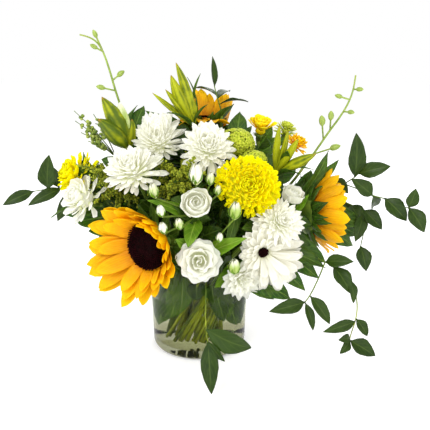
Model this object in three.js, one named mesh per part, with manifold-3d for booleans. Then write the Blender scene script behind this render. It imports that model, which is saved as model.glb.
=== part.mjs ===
// A mixed bouquet in a straight glass vase: three sunflowers, white and yellow chrysanthemums,
// lisianthus, snowball blooms, lily buds, orchid tips, fillers and trailing leafy sprays.
// Millimetres, +Z up. The origin is the centre of the vase's underside, and the front faces -Y.

import * as THREE from 'three';
import { mergeVertices } from 'three/addons/utils/BufferGeometryUtils.js';
import Module from 'manifold-3d';

const wasm = await Module();
wasm.setup();

// ---------------------------------------------------------------- driving dimensions

const VASE_HEIGHT = 115;
const VASE_FOOT_RADIUS = 61;
const VASE_RIM_RADIUS = 64;
const VASE_HEEL = 9;
const GLASS_WALL = 3.5;
const GLASS_BASE = 10;
const VASE_SIDES = 24;
const WATER_LEVEL = 70;

const CLEARANCE = 0.3; // left between pieces that touch
const FOOT_LEVEL = 14; // where the stems' cut ends stand
const NECK_LEVEL = 108; // where the stems pass the vase's mouth
const NECK_REACH = 50; // radius of the stems' bundle at the mouth
const STEM_TWIST = 75; // degrees that the bundle turns from foot to mouth
const FREE_POINTS = 3; // bends of a stem between the mouth and its bloom
const ARRIVAL = 20; // length of the straight stretch under a bloom
const MOUTH_GAP = 3.2; // between stems where they pass the vase's mouth
const STEM_GAP = 1.2; // between stems above it

// ---------------------------------------------------------------- solids, joins and cuts

const vector = (x, y, z) => new THREE.Vector3(x, y, z);
const radians = THREE.MathUtils.degToRad;
const blend = THREE.MathUtils.lerp;

function toSolid(geometry) {
  const bare = geometry.clone();
  bare.deleteAttribute('normal');
  bare.deleteAttribute('uv');
  const merged = mergeVertices(bare, 1e-4);
  return new wasm.Manifold(new wasm.Mesh({
    numProp: 3,
    vertProperties: new Float32Array(merged.attributes.position.array),
    triVerts: new Uint32Array(merged.index.array),
  }));
}

function toGeometry(solid) {
  const mesh = solid.getMesh();
  const geometry = new THREE.BufferGeometry();
  geometry.setAttribute('position', new THREE.BufferAttribute(mesh.vertProperties, 3));
  geometry.setIndex(new THREE.BufferAttribute(mesh.triVerts, 1));
  return geometry;
}

// Joins pieces into one solid. A piece is a function of how much it is grown on every side.
function fuse(pieces, grow = 0) {
  return wasm.Manifold.union(pieces.map((piece) => toSolid(piece(grow))));
}

function largestBody(solid) {
  return solid.decompose().reduce((best, body) => (body.volume() > best.volume() ? body : best));
}

// Moves pieces from a bloom's own frame into the bouquet's.
function place(pieces, matrix) {
  return pieces.map((piece) => (grow) => piece(grow).applyMatrix4(matrix));
}

// ---------------------------------------------------------------- building blocks

// A point on an arc of the given length, whose slope goes evenly from lift[0] to lift[1] degrees.
function arcPoint(length, lift, t) {
  const from = radians(lift[0]);
  const turn = radians(lift[1]) - from;
  const angle = from + turn * t;
  if (Math.abs(turn) < 0.01) {
    return { along: length * t * Math.cos(from), up: length * t * Math.sin(from), angle };
  }
  const radius = length / turn;
  return {
    along: radius * (Math.sin(angle) - Math.sin(from)),
    up: -radius * (Math.cos(angle) - Math.cos(from)),
    angle,
  };
}

// Cross-sections of petals and leaves, as [across, face] corners: across is -1 to 1 from edge to edge,
// and face is 1 on the upper side and -1 under it.
const LENS = [[-1, 0], [0, 1], [1, 0], [0, -1]];
const KEEL = [[-1, 0], [1, 0], [0, -2]];
const CUP = [[-1, 0], [-0.33, 1], [0.33, 1], [1, 0], [0.33, -1], [-0.33, -1]];

// A closed skin along a petal, with an apex at both ends. form(t, across, face) gives each point, and
// t runs 0 to 1 along it. The lower face is split into triangles like the upper one, so that a waved
// petal's two faces never cross.
function petalSkin(stations, section, form) {
  const rows = stations.length + 1;
  const sides = section.length;
  const skin = new THREE.SphereGeometry(1, sides, rows);
  const points = skin.attributes.position;
  const alongOf = [0, ...stations, 1];
  for (let row = 0; row <= rows; row += 1) {
    for (let side = 0; side <= sides; side += 1) {
      const atEnd = row === 0 || row === rows;
      const [across, face] = atEnd ? [0, 0] : section[side % sides];
      const point = form(alongOf[row], across, face);
      points.setXYZ(row * (sides + 1) + side, point.x, point.y, point.z);
    }
  }
  const index = [];
  for (let row = 0; row < rows; row += 1) {
    for (let side = 0; side < sides; side += 1) {
      const b = row * (sides + 1) + side;
      const a = b + 1;
      const c = b + sides + 1;
      const d = c + 1;
      const lower = side >= sides / 2;
      if (row > 0) index.push(a, b, lower ? c : d);
      if (row < rows - 1) index.push(lower ? a : b, c, d);
    }
  }
  skin.setIndex(index);
  return skin;
}

// A petal or leaf from its root at the origin along +X, with its upper face towards +Z.
function blade({
  length, width, thick = 1.3, stations = [0.35, 0.8], widths = [0.75, 1], lift = [0, 0],
  cup = 0, sway = 0, section = LENS,
}) {
  const widthAt = new Map([[0, 0], ...stations.map((t, i) => [t, widths[i]]), [1, 0]]);
  return (grow) => petalSkin(stations, section, (t, across, face) => {
    const spine = arcPoint(length, lift, t);
    const end = t === 0 ? -grow : t === 1 ? grow : 0;
    const wider = end === 0 ? (section === KEEL ? 2.5 : 1.5) * grow : 0;
    const half = widthAt.get(t) * (width / 2) + wider;
    const raised = section === KEEL && end === 0 ? 0.5 * grow : 0;
    const height = face * (thick / 2 + grow) + raised + cup * half * across * across;
    return vector(
      spine.along + end * Math.cos(spine.angle) - height * Math.sin(spine.angle),
      across * half + sway * t * t,
      spine.up + end * Math.sin(spine.angle) + height * Math.cos(spine.angle),
    );
  });
}

// A petal wrapped round the bloom's axis like a piece of a cup, its rim rolled outwards.
function cupPetal({ height, foot, waist, rim, spread, thick = 1.4, drop = 0.12, section = LENS }) {
  const stations = [0.4, 0.84];
  return (grow) => petalSkin(stations, section, (t, across, face) => {
    const end = t === 0 ? -grow : t === 1 ? grow : 0;
    const bulge = t <= 0.4 ? blend(foot, waist, t / 0.4) : blend(waist, rim, (t - 0.4) / 0.6);
    const fullness = t === 0.4 ? 0.85 : 1;
    const radius = bulge - face * (thick / 2 + grow);
    const angle = across * (radians(spread) * fullness + grow / Math.max(bulge, 3));
    return vector(
      radius * Math.cos(angle),
      radius * Math.sin(angle),
      height * (t - drop * across * across * t) + end,
    );
  });
}

// A straight-sided tube through a list of points.
class StemLine extends THREE.Curve {
  constructor(points) {
    super();
    this.points = points;
  }

  getPoint(t, target = new THREE.Vector3()) {
    const stretches = this.points.length - 1;
    const index = Math.min(Math.floor(t * stretches), stretches - 1);
    return target.lerpVectors(this.points[index], this.points[index + 1], t * stretches - index);
  }

  getPointAt(u, target) {
    return this.getPoint(u, target);
  }

  getTangentAt(u, target) {
    return this.getTangent(u, target);
  }
}

function tube(points, radius, sides = 5) {
  return (grow) => {
    const corner = (i) => new THREE.Vector2(
      (radius + grow) * Math.cos((2 * Math.PI * i) / sides),
      (radius + grow) * Math.sin((2 * Math.PI * i) / sides),
    );
    const section = new THREE.Shape(Array.from({ length: sides }, (_, i) => corner(i)));
    return new THREE.ExtrudeGeometry(section, {
      extrudePath: new StemLine(points), steps: points.length - 1, bevelEnabled: false,
    });
  };
}

// A bud on its stalk, in one skin from the root to the tip. `share` is how far along the bud starts.
function stalkedBud(root, tip, radius, stalk, share) {
  const length = root.distanceTo(tip);
  const turn = new THREE.Quaternion().setFromUnitVectors(
    vector(0, -1, 0), tip.clone().sub(root).normalize(),
  );
  const rings = [[0, 0], [0.04, stalk], [share, stalk * 1.2], [blend(share, 1, 0.52), radius], [1, 0]];
  const sides = radius > 5 ? 4 : 3;
  return (grow) => {
    const skin = new THREE.SphereGeometry(1, sides, rings.length - 1);
    const points = skin.attributes.position;
    rings.forEach(([t, reach], row) => {
      for (let side = 0; side <= sides; side += 1) {
        const angle = (2 * Math.PI * side) / sides;
        const wide = reach > 0 ? reach + 1.4 * grow : 0;
        const end = row === 0 ? grow : t === 1 ? -grow : 0;
        points.setXYZ(
          row * (sides + 1) + side, -wide * Math.cos(angle), end - length * t, wide * Math.sin(angle),
        );
      }
    });
    return skin.applyQuaternion(turn).translate(root.x, root.y, root.z);
  };
}

// A spike of tufts: a few-sided skin round a path, thick at each tuft and thin between them.
function tuftedSpike(path, tufts, radius, bare = 0.36) {
  const sides = 3;
  const rows = 2 * tufts + 2;
  return (grow) => {
    const skin = new THREE.SphereGeometry(1, sides, rows);
    const points = skin.attributes.position;
    for (let row = 0; row <= rows; row += 1) {
      const t = row < 2 ? (row * bare) : blend(bare, 1, (row - 1) / (rows - 1));
      const centre = path.getPoint(t);
      const atEnd = row === 0 || row === rows;
      const swell = row === 1 ? 1.1 : row % 2 === 0 ? radius * (1.1 - 0.4 * t) : 0.45 * radius;
      for (let side = 0; side <= sides; side += 1) {
        const angle = (2 * Math.PI * side) / sides + 0.8 * row;
        const reach = atEnd ? 0 : Math.max(swell, 1) + grow;
        points.setXYZ(
          row * (sides + 1) + side,
          centre.x - reach * Math.cos(angle), centre.y + reach * Math.sin(angle),
          centre.z + (atEnd ? Math.sign(row - 1) * -grow : 0),
        );
      }
    }
    return skin;
  };
}

// A turned solid: the profile lists [radius, height] from the axis round to the axis.
function turned(profile, sides) {
  return (grow) => {
    const points = profile.map(([radius, height]) => new THREE.Vector2(radius, height));
    const grown = points.map((point, i) => {
      if (grow === 0) return point;
      const before = points[Math.max(i - 1, 0)];
      const after = points[Math.min(i + 1, points.length - 1)];
      const out = new THREE.Vector2(after.y - before.y, before.x - after.x).normalize();
      const radius = point.x === 0 ? 0 : Math.max(point.x + out.x * grow, 0.1);
      return new THREE.Vector2(radius, point.y + out.y * grow);
    });
    return new THREE.LatheGeometry(grown, sides).rotateX(Math.PI / 2);
  };
}

// A seeded source of even numbers from 0 to 1.
function drawFrom(seed) {
  let state = seed;
  return () => {
    state = (state * 48271) % 2147483647;
    return state / 2147483647;
  };
}

// The frame of a bloom: +Z looks along `facing`, the origin is at `at`.
function bloomFrame(at, facing) {
  const turn = new THREE.Quaternion().setFromUnitVectors(vector(0, 0, 1), facing);
  return new THREE.Matrix4().compose(at, turn, vector(1, 1, 1));
}

// A ring of petals round the axis.
function ring(count, start, radius, height, petalOf) {
  return Array.from({ length: count }, (_, i) => {
    const angle = radians(start) + (2 * Math.PI * i) / count;
    const turn = new THREE.Matrix4().makeRotationZ(angle);
    const out = new THREE.Matrix4().makeTranslation(radius, 0, height);
    return petalOf(turn.multiply(out), angle);
  }).flat();
}

// What a petal tries, one after another, to stay clear of the blooms beside it: degrees that it is
// raised by, and the share of its length that is left.
const BENDS = [[0, 1], [14, 1], [28, 0.95], [42, 0.86], [54, 0.74], [64, 0.6]];

// A petal at its place in a bloom, bent clear of the room that other blooms take. Where nothing
// helps there is none, as where blooms are pressed together.
function fitPetal(options, matrix, space) {
  const world = space.frame.clone().multiply(matrix);
  for (const [raise, share] of BENDS) {
    const petal = blade({
      ...options, length: options.length * share,
      lift: [options.lift[0] + 0.5 * raise, options.lift[1] + raise],
    });
    const skin = petal(0.5).applyMatrix4(world).attributes.position;
    const corners = Array.from({ length: skin.count }, (_, i) => vector().fromBufferAttribute(skin, i));
    const between = corners.slice(4).map((corner, i) => corner.clone().lerp(corners[i], 0.5));
    const clear = [...corners, ...between].every((point) => !space.taken.some((holds) => holds(point)));
    if (clear) return place([petal], matrix);
  }
  return [];
}

// ---------------------------------------------------------------- blooms, each in its own frame

const SUNFLOWER_DISC = 25;

function sunflowerDisc() {
  const rim = SUNFLOWER_DISC;
  const sides = 16;
  const relief = 0.8;
  const body = turned([
    [0, -6], [rim - 2, -6], [rim, -2], [rim - 2, 2.6], [rim - 8, 4.5], [rim - 15, 2.6], [0, 1.6],
  ], sides);
  // Each ring of points is raised and lowered in turn, like the crowded florets' spirals.
  return [(grow) => {
    const disc = body(grow);
    const points = disc.attributes.position;
    for (let i = 0; i < points.count; i += 1) {
      const reach = Math.hypot(points.getX(i), points.getY(i));
      const spoke = Math.round((Math.atan2(points.getY(i), points.getX(i)) / (2 * Math.PI)) * sides);
      const onFace = points.getZ(i) > 0 && reach > 1;
      const lift = onFace ? relief * Math.cos(Math.PI * spoke) : 0;
      points.setZ(i, points.getZ(i) + lift);
    }
    return disc;
  }];
}

function sunflowerRays({ seed, lifts, outerRays, innerRays }, space) {
  const draw = drawFrom(seed);
  const plate = turned([[0, -10.4], [28, -10.4], [29.5, -8.4], [28, -6.4], [0, -6.4]], 8);
  const outer = ring(outerRays, 0, 25, -8.6, (matrix, angle) => fitPetal({
    length: 38 + 8 * draw(), width: 16 + 2 * draw(), stations: [0.32, 0.68], widths: [0.82, 1],
    lift: lifts(angle, draw), cup: 0.18, sway: 6 * (draw() - 0.5),
  }, matrix, space));
  const inner = ring(innerRays, 13, 24, -7.6, (matrix, angle) => fitPetal({
    length: 31 + 6 * draw(), width: 12 + 2 * draw(), stations: [0.34, 0.68], widths: [0.82, 1],
    lift: lifts(angle, draw).map((slope) => slope + 17), section: KEEL, cup: 0.2, sway: 5 * (draw() - 0.5),
  }, matrix, space));
  return [plate, ...outer, ...inner];
}

function sunflowerBack(seed) {
  const draw = drawFrom(seed);
  const dish = turned([[0, -27], [5, -27], [29, -14], [28, -10.8], [0, -10.8]], 7);
  const sepals = ring(7, 8, 24, -14.4, (matrix) => place([blade({
    length: 25 + 7 * draw(), width: 15, stations: [0.34], widths: [1], thick: 1.5,
    lift: [-14, 18 + 10 * draw()], section: KEEL,
  })], matrix));
  return [dish, ...sepals];
}

// A chrysanthemum head of the given radius, its underside at the origin.
function mumPetals(radius, seed, layers, space) {
  const draw = drawFrom(seed);
  const core = turned([
    [0, 0], [0.42 * radius, 0.05 * radius], [0.46 * radius, 0.32 * radius], [0, 0.56 * radius],
  ], 6);
  const petals = layers.flatMap((layer, level) => ring(
    layer.count, level * 17 + 30 * draw(), layer.root * radius, layer.height * radius, (matrix) => fitPetal({
      length: layer.length * radius * (0.92 + 0.16 * draw()),
      width: layer.width * radius, thick: 1.5, stations: layer.stations ?? [0.45, 0.84], widths: [0.9, 1],
      lift: [layer.lift[0] + 8 * (draw() - 0.5), layer.lift[1] + 14 * (draw() - 0.5)],
      section: KEEL, cup: 0.25,
    }, matrix, space),
  ));
  return [core, ...petals];
}

const FULL_MUM = [
  { count: 9, root: 0.36, height: 0.16, length: 0.68, width: 0.4, lift: [-12, 6] },
  { count: 6, root: 0.3, height: 0.3, length: 0.58, width: 0.38, lift: [18, 40] },
  { count: 4, root: 0.2, height: 0.4, length: 0.46, width: 0.32, lift: [48, 74], stations: [0.7] },
];

const DENSE_MUM = [
  { count: 10, root: 0.35, height: 0.16, length: 0.67, width: 0.37, lift: [-8, 10] },
  { count: 7, root: 0.28, height: 0.3, length: 0.58, width: 0.34, lift: [18, 42] },
  { count: 4, root: 0.22, height: 0.42, length: 0.44, width: 0.32, lift: [48, 76], stations: [0.7] },
];

const SMALL_MUM = [
  { count: 7, root: 0.34, height: 0.18, length: 0.66, width: 0.5, lift: [-4, 14] },
  { count: 4, root: 0.22, height: 0.36, length: 0.52, width: 0.44, lift: [38, 60] },
];

// Blooms that are mostly hidden have fewer and broader petals.
const HIDDEN_MUM = [
  { count: 9, root: 0.36, height: 0.18, length: 0.68, width: 0.42, lift: [-8, 10] },
  { count: 6, root: 0.24, height: 0.36, length: 0.52, width: 0.38, lift: [36, 58] },
];

function mumBack(radius) {
  return [turned([
    [0, -0.42 * radius], [3, -0.42 * radius], [0.32 * radius, -0.3], [0, -0.3],
  ], 6)];
}

// The daisy: long strap petals in two rings round a raised dark eye.
function daisyPetals(radius, seed, space) {
  const draw = drawFrom(seed);
  const plate = turned([[0, 0], [11, 0], [12.5, 2], [11, 4], [0, 4]], 9);
  const outer = ring(12, 0, 8, 1.6, (matrix) => fitPetal({
    length: radius - 8 + 4 * draw(), width: 12, thick: 1.4, stations: [0.4, 0.82], widths: [0.85, 1],
    lift: [2 + 6 * draw(), -24 + 10 * draw()], section: KEEL, cup: -0.05, sway: 5 * (draw() - 0.5),
  }, matrix, space));
  const inner = ring(6, 12, 8, 3, (matrix) => fitPetal({
    length: 0.74 * radius - 8 + 4 * draw(), width: 10, thick: 1.4, stations: [0.42, 0.8], widths: [0.85, 1],
    lift: [26 + 8 * draw(), 4], section: KEEL, cup: -0.05, sway: 4 * (draw() - 0.5),
  }, matrix, space));
  return [plate, ...outer, ...inner];
}

function daisyEye() {
  return [turned([[0, 4.4], [7.6, 4.4], [8, 6.4], [5.5, 9], [0, 7.6]], 9)];
}

// A lisianthus: cup petals in rings from the closed heart out to the open rim.
function rosePetals(radius, seed, rings) {
  const draw = drawFrom(seed);
  const heart = turned([
    [0, 0.5], [0.26 * radius, 0.5], [0.44 * radius, 0.5 * radius], [0.2 * radius, 0.96 * radius],
    [0, 0.84 * radius],
  ], 5);
  const petals = rings.flatMap((layer, level) => ring(
    layer.count, level * 40 + 20 * draw(), 0, 0.6, (matrix) => place([cupPetal({
      height: layer.height * radius * (0.95 + 0.1 * draw()), foot: 0.16 * radius,
      waist: layer.waist * radius, rim: layer.rim * radius * (0.95 + 0.1 * draw()), spread: layer.spread,
      section: layer.spread > 45 ? CUP : LENS,
    })], matrix),
  ));
  return [heart, ...petals];
}

const OPEN_ROSE = [
  { count: 3, height: 1.02, waist: 0.56, rim: 0.56, spread: 48 },
  { count: 5, height: 0.8, waist: 0.76, rim: 1.04, spread: 33 },
];

const CLOSED_ROSE = [
  { count: 4, height: 1.24, waist: 0.7, rim: 0.72, spread: 42 },
];

function roseBack(radius) {
  return [turned([[0, -6], [2.2, -6], [0.34 * radius, -0.3], [0, -0.3]], 5)];
}

// A snowball: the faces of a round ball meet at florets, spread evenly by the golden angle, that
// stand out from it.
function snowball(radius, florets, detail) {
  const centres = Array.from({ length: florets }, (_, i) => {
    const height = 1 - (2 * i + 1) / florets;
    const angle = i * Math.PI * (3 - Math.sqrt(5));
    const reach = Math.sqrt(1 - height * height);
    return vector(reach * Math.cos(angle), reach * Math.sin(angle), height);
  });
  const floretReach = 1.6 / Math.sqrt(florets);
  return [(grow) => {
    const ball = new THREE.IcosahedronGeometry(1, detail);
    const points = ball.attributes.position;
    for (let i = 0; i < points.count; i += 1) {
      const out = vector(points.getX(i), points.getY(i), points.getZ(i));
      const nearest = Math.min(...centres.map((centre) => centre.distanceTo(out)));
      const height = 0.82 + 0.18 * Math.max(0, 1 - (nearest / floretReach) ** 2);
      out.multiplyScalar(radius * height + grow);
      points.setXYZ(i, out.x, out.y, out.z);
    }
    return ball;
  }];
}

// ---------------------------------------------------------------- where everything is

// Heads: place of the underside's centre, the way it faces and its radius.
const HEADS = {
  sunflower_1: { at: [-55, -92, 160], facing: [-0.56, -0.82, 0.04], radius: 40 },
  sunflower_2: { at: [146, -12, 180], facing: [0.95, 0.2, 0.06], radius: 40 },
  sunflower_3: { at: [8, 48, 286], facing: [0.05, 0.45, 0.9], radius: 40 },
  white_mum_1: { at: [-44, -36, 262], facing: [-0.1, -0.55, 0.8], radius: 29 },
  white_mum_2: { at: [-66, -78, 234], facing: [-0.25, -0.55, 0.8], radius: 37 },
  white_mum_3: { at: [13, -58, 258], facing: [0.05, -0.75, 0.66], radius: 32 },
  white_mum_4: { at: [87, -92, 187], facing: [0.45, -0.8, 0.4], radius: 29 },
  white_mum_5: { at: [-128, -38, 200], facing: [-0.75, -0.45, 0.45], radius: 29 },
  white_daisy: { at: [72, -98, 158], facing: [0.35, -0.9, -0.3], radius: 40 },
  yellow_mum: { at: [54, -86, 226], facing: [0.1, -0.94, 0.3], radius: 36 },
  yellow_left: { at: [-146, -2, 222], facing: [-0.8, -0.35, 0.5], radius: 27 },
  yellow_top: { at: [78, 22, 274], facing: [0.1, -0.3, 0.95], radius: 22 },
  orange_bloom: { at: [120, 8, 258], facing: [0.5, -0.4, 0.77], radius: 17 },
  lime_bloom: { at: [112, 42, 272], facing: [0.3, -0.1, 0.95], radius: 17 },
  lisianthus_1: { at: [4, -100, 147], facing: [0, -0.98, 0.18], radius: 23 },
  lisianthus_2: { at: [1, -105, 208], facing: [0, -0.86, 0.5], radius: 18 },
  lisianthus_3: { at: [50, -86, 124], facing: [0.25, -0.9, -0.2], radius: 20 },
  lisianthus_4: { at: [107, -58, 204], facing: [0.3, -0.35, 0.88], radius: 15 },
  snowball_1: { at: [46, -28, 268], facing: [0.15, -0.4, 0.9], radius: 21 },
  snowball_2: { at: [66, -48, 250], facing: [0.3, -0.5, 0.8], radius: 14 },
  back_mum: { at: [-48, 82, 232], facing: [-0.35, 0.8, 0.5], radius: 38 },
  back_lisianthus: { at: [62, 92, 214], facing: [0.4, 0.8, 0.45], radius: 24 },
};

const unit = (list) => vector(...list).normalize();
const headAt = (name) => vector(...HEADS[name].at);
const headFacing = (name) => unit(HEADS[name].facing);
const headFrame = (name) => bloomFrame(headAt(name), headFacing(name));

// Where a head's stem ends: behind the centre of its underside.
const behind = (name, depth) => headAt(name).addScaledVector(headFacing(name), -depth);

// ---------------------------------------------------------------- stems

// Each stem: the point that it carries, the way it arrives there, and its radius.
const STEMS = {
  sunflower_1: { end: behind('sunflower_1', 24), along: headFacing('sunflower_1'), radius: 4.5 },
  sunflower_2: { end: behind('sunflower_2', 24), along: headFacing('sunflower_2'), radius: 4.5 },
  sunflower_3: { end: behind('sunflower_3', 24), along: headFacing('sunflower_3'), radius: 4.5 },
  white_mum_2: { end: behind('white_mum_2', 8), along: headFacing('white_mum_2'), radius: 2.6 },
  white_mum_3: { end: behind('white_mum_3', 8), along: headFacing('white_mum_3'), radius: 2.6 },
  white_mum_4: { end: behind('white_mum_4', 8), along: headFacing('white_mum_4'), radius: 2.6 },
  white_mum_5: { end: behind('white_mum_5', 8), along: headFacing('white_mum_5'), radius: 2.6 },
  white_daisy: { end: behind('white_daisy', 6), along: headFacing('white_daisy'), radius: 3 },
  yellow_mum: { end: behind('yellow_mum', 8), along: headFacing('yellow_mum'), radius: 3 },
  yellow_left: { end: behind('yellow_left', 8), along: headFacing('yellow_left'), radius: 2.4 },
  yellow_top: { end: behind('yellow_top', 6), along: headFacing('yellow_top'), radius: 2.4 },
  lisianthus_1: { end: behind('lisianthus_1', 5), along: headFacing('lisianthus_1'), radius: 2.2 },
  lisianthus_2: { end: behind('lisianthus_2', 5), along: headFacing('lisianthus_2'), radius: 2.2 },
  lisianthus_3: { end: behind('lisianthus_3', 5), along: headFacing('lisianthus_3'), radius: 2.2 },
  lisianthus_4: { end: behind('lisianthus_4', 5), along: headFacing('lisianthus_4'), radius: 2.2 },
  snowball_1: { end: behind('snowball_1', -6), along: headFacing('snowball_1'), radius: 2.2 },
  back_mum: { end: behind('back_mum', 8), along: headFacing('back_mum'), radius: 2.8 },
  back_lisianthus: { end: behind('back_lisianthus', 5), along: headFacing('back_lisianthus'), radius: 2.2 },
  lily_1: { end: vector(-84, -22, 262), along: unit([-0.35, -0.1, 0.9]), radius: 2.8 },
  lily_2: { end: vector(-4, -8, 288), along: unit([-0.1, 0, 1]), radius: 2.8 },
  lily_3: { end: vector(96, -24, 232), along: unit([0.6, -0.1, 0.8]), radius: 2.8 },
  orchid_1: { end: vector(-76, 8, 268), along: unit([-0.25, 0, 1]), radius: 1.9 },
  orchid_2: { end: vector(134, 6, 236), along: unit([0.5, -0.1, 0.8]), radius: 1.9 },
  filler_1: { end: vector(-92, -12, 216), along: unit([-0.6, -0.3, 0.7]), radius: 1.8 },
  filler_2: { end: vector(-20, -60, 228), along: unit([-0.1, -0.6, 0.8]), radius: 1.8 },
  bead_spray: { end: vector(-108, 20, 248), along: unit([-0.6, 0, 0.8]), radius: 1.8 },
  filler_back: { end: vector(4, 98, 244), along: unit([0, 0.5, 0.85]), radius: 1.8 },
  ruscus_left: { end: vector(-126, 24, 196), along: unit([-0.9, 0, 0.4]), radius: 1.7 },
  ruscus_right: { end: vector(150, 28, 214), along: unit([0.9, -0.1, 0.3]), radius: 1.7 },
  ruscus_low: { end: vector(112, -44, 150), along: unit([0.9, -0.4, -0.1]), radius: 1.7 },
  ruscus_front: { end: vector(10, -84, 122), along: unit([0, -1, 0.1]), radius: 1.7 },
  ruscus_top: { end: vector(30, 16, 300), along: unit([0.1, 0.1, 1]), radius: 1.7 },
  ruscus_back: { end: vector(-104, 84, 196), along: unit([-0.7, 0.6, 0.3]), radius: 1.7 },
};

// A stem's place in the mouth: steep stems stand near the middle, low ones near the rim.
function mouthPoint(end) {
  const reach = Math.hypot(end.x, end.y);
  const steepness = Math.atan2(end.z - NECK_LEVEL, reach) / (Math.PI / 2);
  const radius = NECK_REACH * (1 - Math.max(steepness, 0)) ** 0.75;
  return vector((end.x / reach) * radius, (end.y / reach) * radius, NECK_LEVEL);
}

// The foot is the mouth's point turned back round the axis, so no two stems cross in the vase.
function footPoint(mouth) {
  const turned = mouth.clone().applyAxisAngle(vector(0, 0, 1), radians(-STEM_TWIST));
  return turned.multiplyScalar(0.86).setZ(FOOT_LEVEL);
}

// The nearest points of two straight stretches, as shares along each.
function nearestShares(a0, a1, b0, b1) {
  const u = a1.clone().sub(a0);
  const v = b1.clone().sub(b0);
  const w = a0.clone().sub(b0);
  const uu = u.dot(u);
  const uv = u.dot(v);
  const vv = v.dot(v);
  const uw = u.dot(w);
  const vw = v.dot(w);
  const clamp = (value) => Math.min(Math.max(value, 0), 1);
  const bottom = uu * vv - uv * uv;
  let s = bottom > 1e-9 ? clamp((uv * vw - vv * uw) / bottom) : 0;
  const t = clamp((uv * s + vw) / vv);
  s = clamp((uv * t - uw) / uu);
  return [s, t];
}

// Spreads the stems' places in the mouth until they are a gap apart.
function spreadMouth(stems) {
  for (let round = 0; round < 200; round += 1) {
    for (const a of stems) {
      for (const b of stems) {
        if (a === b) continue;
        const apart = a.points[1].clone().sub(b.points[1]);
        const short = a.radius + b.radius + MOUTH_GAP - apart.length();
        if (short > 0) {
          apart.setLength(short / 2);
          a.points[1].add(apart);
          b.points[1].sub(apart);
        }
      }
      const reach = Math.hypot(a.points[1].x, a.points[1].y);
      const limit = NECK_REACH + 5 - a.radius;
      if (reach > limit) a.points[1].multiplyScalar(limit / reach).setZ(NECK_LEVEL);
    }
  }
}

// Bends the stems clear of each other and of the heads that they don't carry.
function routeStems() {
  const stems = Object.entries(STEMS).map(([name, { end, along, radius }]) => {
    const mouth = mouthPoint(end);
    return { name, radius, points: [footPoint(mouth), mouth], end, along };
  });
  spreadMouth(stems);
  for (const stem of stems) {
    const mouth = stem.points[1];
    const arrival = stem.end.clone().addScaledVector(stem.along, -ARRIVAL);
    const turning = mouth.clone().lerp(arrival, 0.45).setZ(blend(mouth.z, arrival.z, 0.62));
    const sweep = new THREE.QuadraticBezierCurve3(mouth, turning, arrival);
    stem.points[0] = footPoint(mouth);
    for (let i = 1; i <= FREE_POINTS; i += 1) {
      stem.points.push(sweep.getPoint(i / (FREE_POINTS + 1)));
    }
    stem.points.push(arrival, stem.end);
  }
  const heads = Object.entries(HEADS).map(([name, head]) => ({
    name, radius: 0.8 * head.radius,
    centre: headAt(name).addScaledVector(headFacing(name), 0.3 * head.radius),
  }));
  for (let round = 0; round < 160; round += 1) {
    for (const stem of stems) {
      for (let i = 2; i < 2 + FREE_POINTS; i += 1) {
        const middle = stem.points[i - 1].clone().lerp(stem.points[i + 1], 0.5);
        stem.points[i].lerp(middle, 0.12);
      }
    }
    for (let first = 0; first < stems.length; first += 1) {
      for (let second = first + 1; second < stems.length; second += 1) {
        partStems(stems[first], stems[second]);
      }
      for (const head of heads) {
        if (head.name !== stems[first].name) pushFromHead(stems[first], head);
      }
    }
  }
  return Object.fromEntries(stems.map((stem) => [stem.name, stem.points]));
}

const isFree = (i) => i >= 2 && i < 2 + FREE_POINTS;

function partStems(a, b) {
  const need = a.radius + b.radius + STEM_GAP;
  for (let i = 1; i < a.points.length - 1; i += 1) {
    for (let j = 1; j < b.points.length - 1; j += 1) {
      const [s, t] = nearestShares(a.points[i], a.points[i + 1], b.points[j], b.points[j + 1]);
      const onA = a.points[i].clone().lerp(a.points[i + 1], s);
      const onB = b.points[j].clone().lerp(b.points[j + 1], t);
      const apart = onA.sub(onB);
      const short = need - apart.length();
      if (short <= 0) continue;
      if (apart.length() < 0.01) apart.set(1, 0, 0);
      apart.setLength(short * 0.6);
      if (isFree(i)) a.points[i].addScaledVector(apart, 1 - s);
      if (isFree(i + 1)) a.points[i + 1].addScaledVector(apart, s);
      if (isFree(j)) b.points[j].addScaledVector(apart, t - 1);
      if (isFree(j + 1)) b.points[j + 1].addScaledVector(apart, -t);
    }
  }
}

function pushFromHead(stem, head) {
  for (let i = 1; i < stem.points.length - 1; i += 1) {
    const above = head.centre.clone().setZ(head.centre.z + 0.1);
    const [s] = nearestShares(stem.points[i], stem.points[i + 1], head.centre, above);
    const out = stem.points[i].clone().lerp(stem.points[i + 1], s).sub(head.centre);
    const short = head.radius + stem.radius + 1 - out.length();
    if (short <= 0) continue;
    out.setLength(short * 0.5);
    if (isFree(i)) stem.points[i].addScaledVector(out, 1 - s);
    if (isFree(i + 1)) stem.points[i + 1].addScaledVector(out, s);
  }
}

const stemPoints = routeStems();
const sidesFor = (radius) => (radius > 4 ? 5 : radius > 2.3 ? 4 : 3);
const stemTube = (name) => tube(stemPoints[name], STEMS[name].radius, sidesFor(STEMS[name].radius));

// ---------------------------------------------------------------- leaves, buds and sprays

const BOUQUET_HEART = vector(0, 0, 150);
const BROAD = 24; // leaves from this width on have a ridge on both faces
const SUNK = 0.15; // share of a line's last stretch by which a leaf at its end is rooted back in it

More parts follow.
